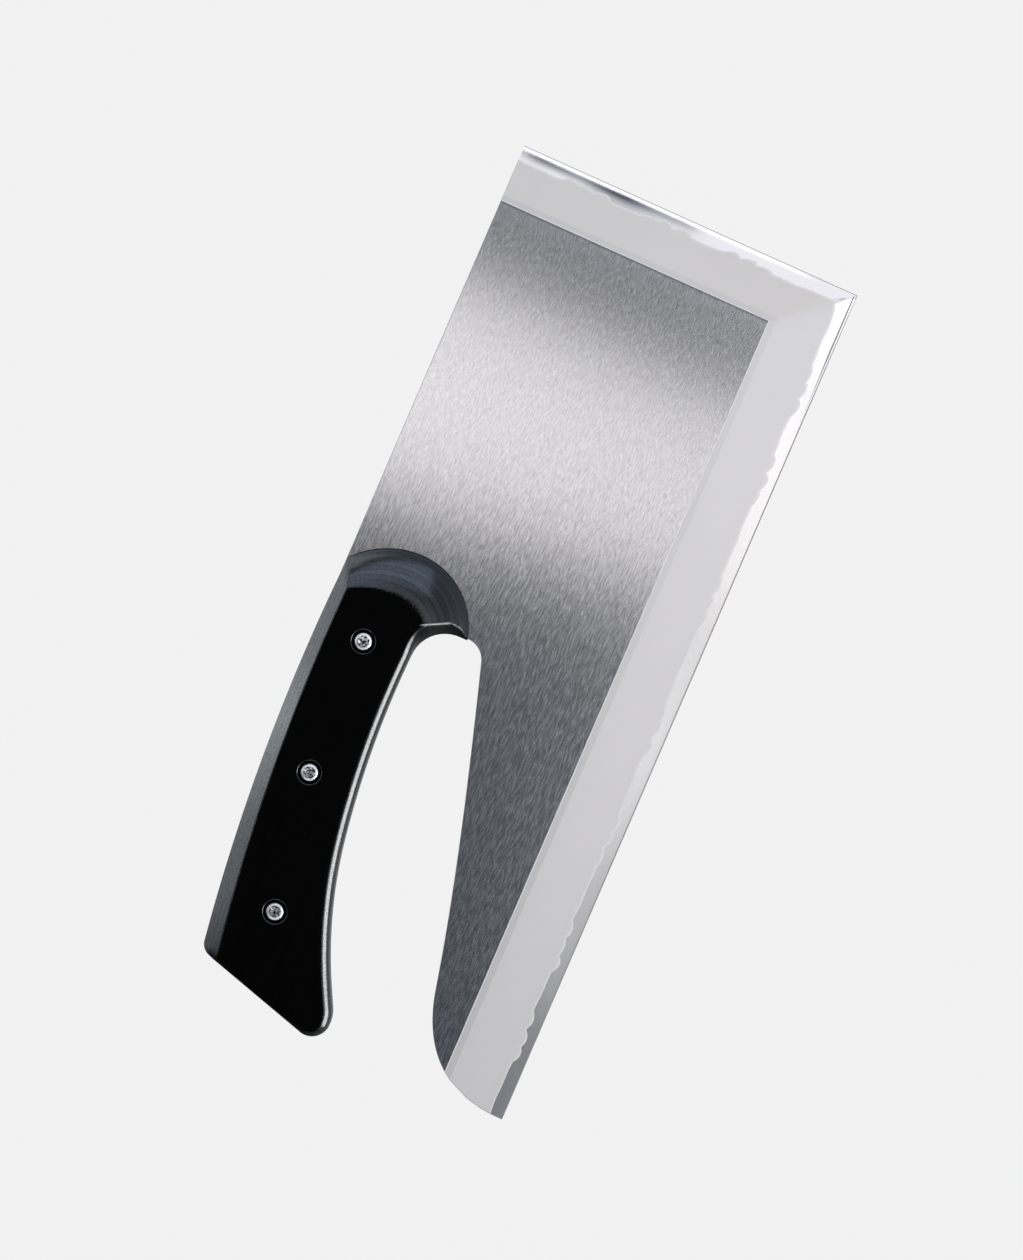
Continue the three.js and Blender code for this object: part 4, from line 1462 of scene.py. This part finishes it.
def makeScrew(name, place, turn):
    f = fastener
    end = -f["shankLength"]
    profile = [(0, end), (f["shank"] - f["tip"], end), (f["shank"], end + f["tip"])]
    profile += [(f["shank"], 0), (f["head"], 0)]
    screw = turned(name, profile + roundedHead(1))
    length, width, depth = f["cross"]
    low, high = (crossOutline(length * a, width * b) for a, b in (f["crossLow"], f["crossHigh"]))
    cutFrom(screw, prism(low, high, f["tall"] - depth, f["tall"] + depth))
    return finishFastener(screw, f"{name}_screw_turned", place, seat, turn)


def makeNut(name, place, turn):
    f = fastener
    length, floor = f["sleeveLength"], f["sleeveFloor"]
    profile = roundedHead(-1)[::-1] + [(f["head"], 0), (f["sleeve"], 0), (f["sleeve"], length)]
    profile += [(f["bore"], length), (f["bore"], floor), (0, floor)]
    nut = turned(name, profile)
    width, depth = f["slot"]
    a, b = f["head"] + 1, width / 2
    outline = [(-a, -b), (a, -b), (a, b), (-a, b)]
    cutFrom(nut, prism(outline, outline, -f["tall"] - 1, -f["tall"] + depth))
    return finishFastener(nut, f"{name}_sleeve_nut_turned", place, -seat, turn)


driverTurns = {"nose": (0.35, 0.9), "middle": (1.1, 2.2), "rear": (0.75, 0.3)}
fasteners = {}
for name, place in screwPlaces.items():
    fasteners[f"{name}_screw"] = makeScrew(name, place, driverTurns[name][0])
    fasteners[f"{name}_sleeve_nut"] = makeNut(name, place, driverTurns[name][1])
print("fasteners", len(fasteners))

for piece, cadNode, finish in (
        (bladePiece, "blade", "blade_steel"),
        (frontScale, "front_scale", "black_laminate"),
        (backScale, "back_scale", "black_laminate"),
        *((piece, cadNode, "fastener_steel") for cadNode, piece in fasteners.items())):
    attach(piece, "root")
    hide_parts(cadNode)


# Stage: pale floor, soft lights, and the camera straight above. All in m.
stage = {
    "floor": 0.885,  # as the camera sees it
    "floorCloud": (0.999, 1.001),
    "floorGrain": 2.0,
    "floorHalf": 6.0,
    "floorBefore": 0.45,  # painted shadow: darker as the knife sees it, on the edge's side
    "floorTurn": (0.05, 0.075),  # y where the side behind the spine begins
    "floorBehind": (  # painted light and shade as the knife sees it: x and tone there
        (-0.15, 0.4), (-0.128, 0.8), (-0.1, 0.93), (-0.058, 1.8), (-0.035, 1.25), (-0.01, 0.95)),
    "behindBlue": 0.07,
    "zenith": 0.034,
    "zenithTint": (0.52, 0.94, 1.52, 1),
    "horizon": 0.1,
    "horizonTint": (0.82, 0.97, 1.2, 1),
    "skyEnds": (0.95, 0.1),  # height of the direction where each tone is whole
    "sensor": 36.0,  # mm
    "cameraHeight": 3.0,  # over the blade
    "cameraAbove": (0.0006, 0.00065),
    "frameHeight": 0.4209,  # seen at the blade
    "turn": math.radians(-66.67),
}
# size is along x and y when the lamp hangs level, glow is radiance; it shines straight down
# unless it has an aim
lamps = {
    "bladeStrip": {"at": (0.079, -0.21, 0.62), "size": (0.08, 0.48), "glow": 1.12,
                   "tint": (1.0, 0.972, 0.966)},
    "spineStrip": {"at": (0.076, 0.24, 0.62), "size": (0.1, 0.42), "glow": 1.42,
                   "tint": (1.0, 0.972, 0.963)},
    "edgeFront": {"at": (0.1675, -0.18, 0.612), "size": (0.105, 0.13), "glow": 1.0},
    "edgeMiddle": {"at": (-0.015, -0.18, 0.612), "size": (0.09, 0.13), "glow": 0.87},
    "edgeRear": {"at": (-0.0935, -0.18, 0.612), "size": (0.067, 0.13), "glow": 0.51},
    "edgeHeel": {"at": (-0.189, -0.18, 0.612), "size": (0.123, 0.13), "glow": 0.165},
    "bevelBox": {"at": (-0.125, -0.42, 0.62), "size": (0.5, 0.16), "glow": 4.4,
                 "only": (bladePiece, *fasteners.values())},
    "frontBox": {"at": (0.32, -0.10, 0.62), "size": (0.30, 0.7), "glow": 0.95, "tint": (0.98, 0.987, 1.03)},
    "frontLine": {"at": (0.371, 0.025, 0.612), "size": (0.058, 0.16), "glow": 0.25},
    "noseBox": {"at": (0.8, 0.4, 0.55), "aim": (0.0, 0.03, 0.0), "size": (1.7, 0.8), "glow": 1.1,
                "tint": (0.64, 0.76, 1.0)},
    "fingerStrip": {"at": (0.0, -0.62, 0.30), "aim": (0.0, 0.03, 0.02), "size": (0.44, 0.5), "glow": 8.8,
                    "only": (frontScale, backScale, *fasteners.values())},
    "tailBox": {"at": (-0.65, 0.0, 0.65), "aim": (0.0, -0.03, 0.0), "size": (0.5, 0.5), "glow": 1.5},
    "spineBox": {"at": (-0.08, 0.5, 0.5), "aim": (-0.07, 0.05, 0.02), "size": (0.3, 0.1), "glow": 4.0},
}
# graded cards under the front box: at and size as above, then shares of the way along y, each
# with how dark the card is there and how far across it fades
cards = {
    "bandCard": {"at": (0.2912, 0.0329, 0.60), "size": (0.1, 0.0787), "fade": (
        (0, 0.45, 0.56), (0.23, 0.6, 0.58), (0.39, 1.0, 0.9), (0.5, 0.96, 0.74),
        (0.65, 0.6, 0.48), (0.8, 0.78, 0.44), (0.91, 0.88, 0.54), (1, 0.1, 0.54))},
    "cornerCard": {"at": (0.233, -0.118, 0.60), "size": (0.055, 0.055), "fade": (
        (0, 0.1, 0.5), (0.6, 0.75, 0.9), (1, 0.1, 0.5))},
}
cardTones = {"dark": (0.03, 0.046, 0.082, 1), "pale": (0.97, 0.985, 1.04, 1)}
cardFull = 0.34  # place across where it is darkest


def addLamp(name, spec):
    data = bpy.data.lights.new(name, "AREA")
    data.shape = "RECTANGLE"
    data.size, data.size_y = spec["size"]
    data.energy = spec["glow"] * math.pi * data.size * data.size_y
    data.color = spec.get("tint", (1, 1, 1))
    lamp = bpy.data.objects.new(name, data)
    lamp.location = spec["at"]
    aim = spec.get("aim", (*spec["at"][:2], 0.0))
    lamp.rotation_euler = (Vector(aim) - Vector(spec["at"])).to_track_quat("-Z", "Y").to_euler()
    lamp.visible_camera = False
    if "only" in spec:
        lit = bpy.data.collections.new(f"{name}Lit")
        for piece in spec["only"]:
            lit.objects.link(piece)
        lamp.light_linking.receiver_collection = lit
    bpy.context.scene.collection.objects.link(lamp)


def toneRamp(tree, along, places):
    ramp = node(tree, "ShaderNodeValToRGB", {"Fac": along})
    stops = ramp.color_ramp.elements
    while len(stops) < len(places):
        stops.new(0.5)
    for stop, (position, tone) in zip(stops, places):
        stop.position = position
        stop.color = tone
    return ramp.outputs[0]


def setGlow(tree, shader, tone):
    setInputs(tree, shader, {
        "Base Color": grey(0.0),
        "Roughness": 1.0,
        "Specular IOR Level": 0.0,
        "Emission Color": tone,
        "Emission Strength": 1.0,
    })


def gradedCard(name, places):
    made, tree, shader, spot = newMaterial(f"{name}Tone")
    places = [(share, (dark, reach, 0, 1)) for share, dark, reach in places]
    fade = toneRamp(tree, calc(tree, "ADD", coordinate(tree, spot, "Y"), 0.5), places)
    fade = node(tree, "ShaderNodeSeparateColor", {0: fade}).outputs
    start = calc(tree, "SUBTRACT", cardFull, fade["Green"])
    across = ranged(tree, coordinate(tree, spot, "X"), (start, cardFull))
    dark = calc(tree, "MULTIPLY", across, fade["Red"])
    setGlow(tree, shader, mixColour(tree, dark, cardTones["pale"], cardTones["dark"]))
    return made


def isSeen(tree):
    return node(tree, "ShaderNodeLightPath").outputs["Is Camera Ray"]


def paleFloor():
    made, tree, shader, spot = newMaterial("paleFloor")
    cloud = grainOn(tree, spot, stage["floorGrain"])["Cloud"]
    tone = mixColour(tree, cloud, *(grey(stage["floor"] * share) for share in stage["floorCloud"]))
    # as the knife sees it the floor has a painted shadow on the edge's side and painted light and shade
    # along x behind the spine; the camera sees it even
    past = ranged(tree, coordinate(tree, spot, "Y"), stage["floorTurn"])
    places = stage["floorBehind"]
    start, end = places[0][0], places[-1][0]
    along = ranged(tree, coordinate(tree, spot, "X"), (start, end))
    places = [((x - start) / (end - start), grey(value, stage["behindBlue"])) for x, value in places]
    glow = mixColour(tree, past, grey(stage["floorBefore"]), toneRamp(tree, along, places))
    setGlow(tree, shader, mixColour(tree, isSeen(tree), glow, tone))
    return made


def studioWorld():
    world = bpy.data.worlds.new("studio")
    world.use_nodes = True
    tree = world.node_tree
    up = coordinate(tree, node(tree, "ShaderNodeTexCoord").outputs["Generated"], "Z")
    shades = [[stage[key] * part for part in stage[f"{key}Tint"]] for key in ("zenith", "horizon")]
    room = mixColour(tree, ranged(tree, up, stage["skyEnds"]), *shades)
    tone = mixColour(tree, isSeen(tree), room, grey(stage["floor"]))
    setInputs(tree, tree.nodes["Background"], {"Color": tone})
    return world


def stageSheet(name, half, steps, finish):
    mesh = bmesh.new()
    bmesh.ops.create_grid(mesh, x_segments=steps, y_segments=steps, size=half)
    made = meshObject(name, mesh)
    made.data.materials.append(finish)
    return made


def makeStage():
    scene = bpy.context.scene
    scene.view_settings.view_transform = "Standard"
    scene.world = studioWorld()
    floor = stageSheet("floor", stage["floorHalf"], 8, paleFloor())
    for name, spec in lamps.items():
        addLamp(name, spec)
    for name, spec in cards.items():
        card = stageSheet(name, 0.5, 2, gradedCard(name, spec["fade"]))
        card.location = spec["at"]
        card.scale = (*spec["size"], 1)
        card.visible_camera = False

    eye = bpy.data.cameras.new("camera")
    eye.sensor_width = stage["sensor"]
    eye.lens = stage["sensor"] * stage["cameraHeight"] / stage["frameHeight"]
    camera = bpy.data.objects.new("camera", eye)
    bladeTop = toRow((0, 0, blade["half"]))[2]
    camera.location = (*stage["cameraAbove"], stage["cameraHeight"] + bladeTop)
    camera.rotation_euler = (0, 0, stage["turn"])
    scene.collection.objects.link(camera)
    scene.camera = camera


makeStage()
print("stage set")
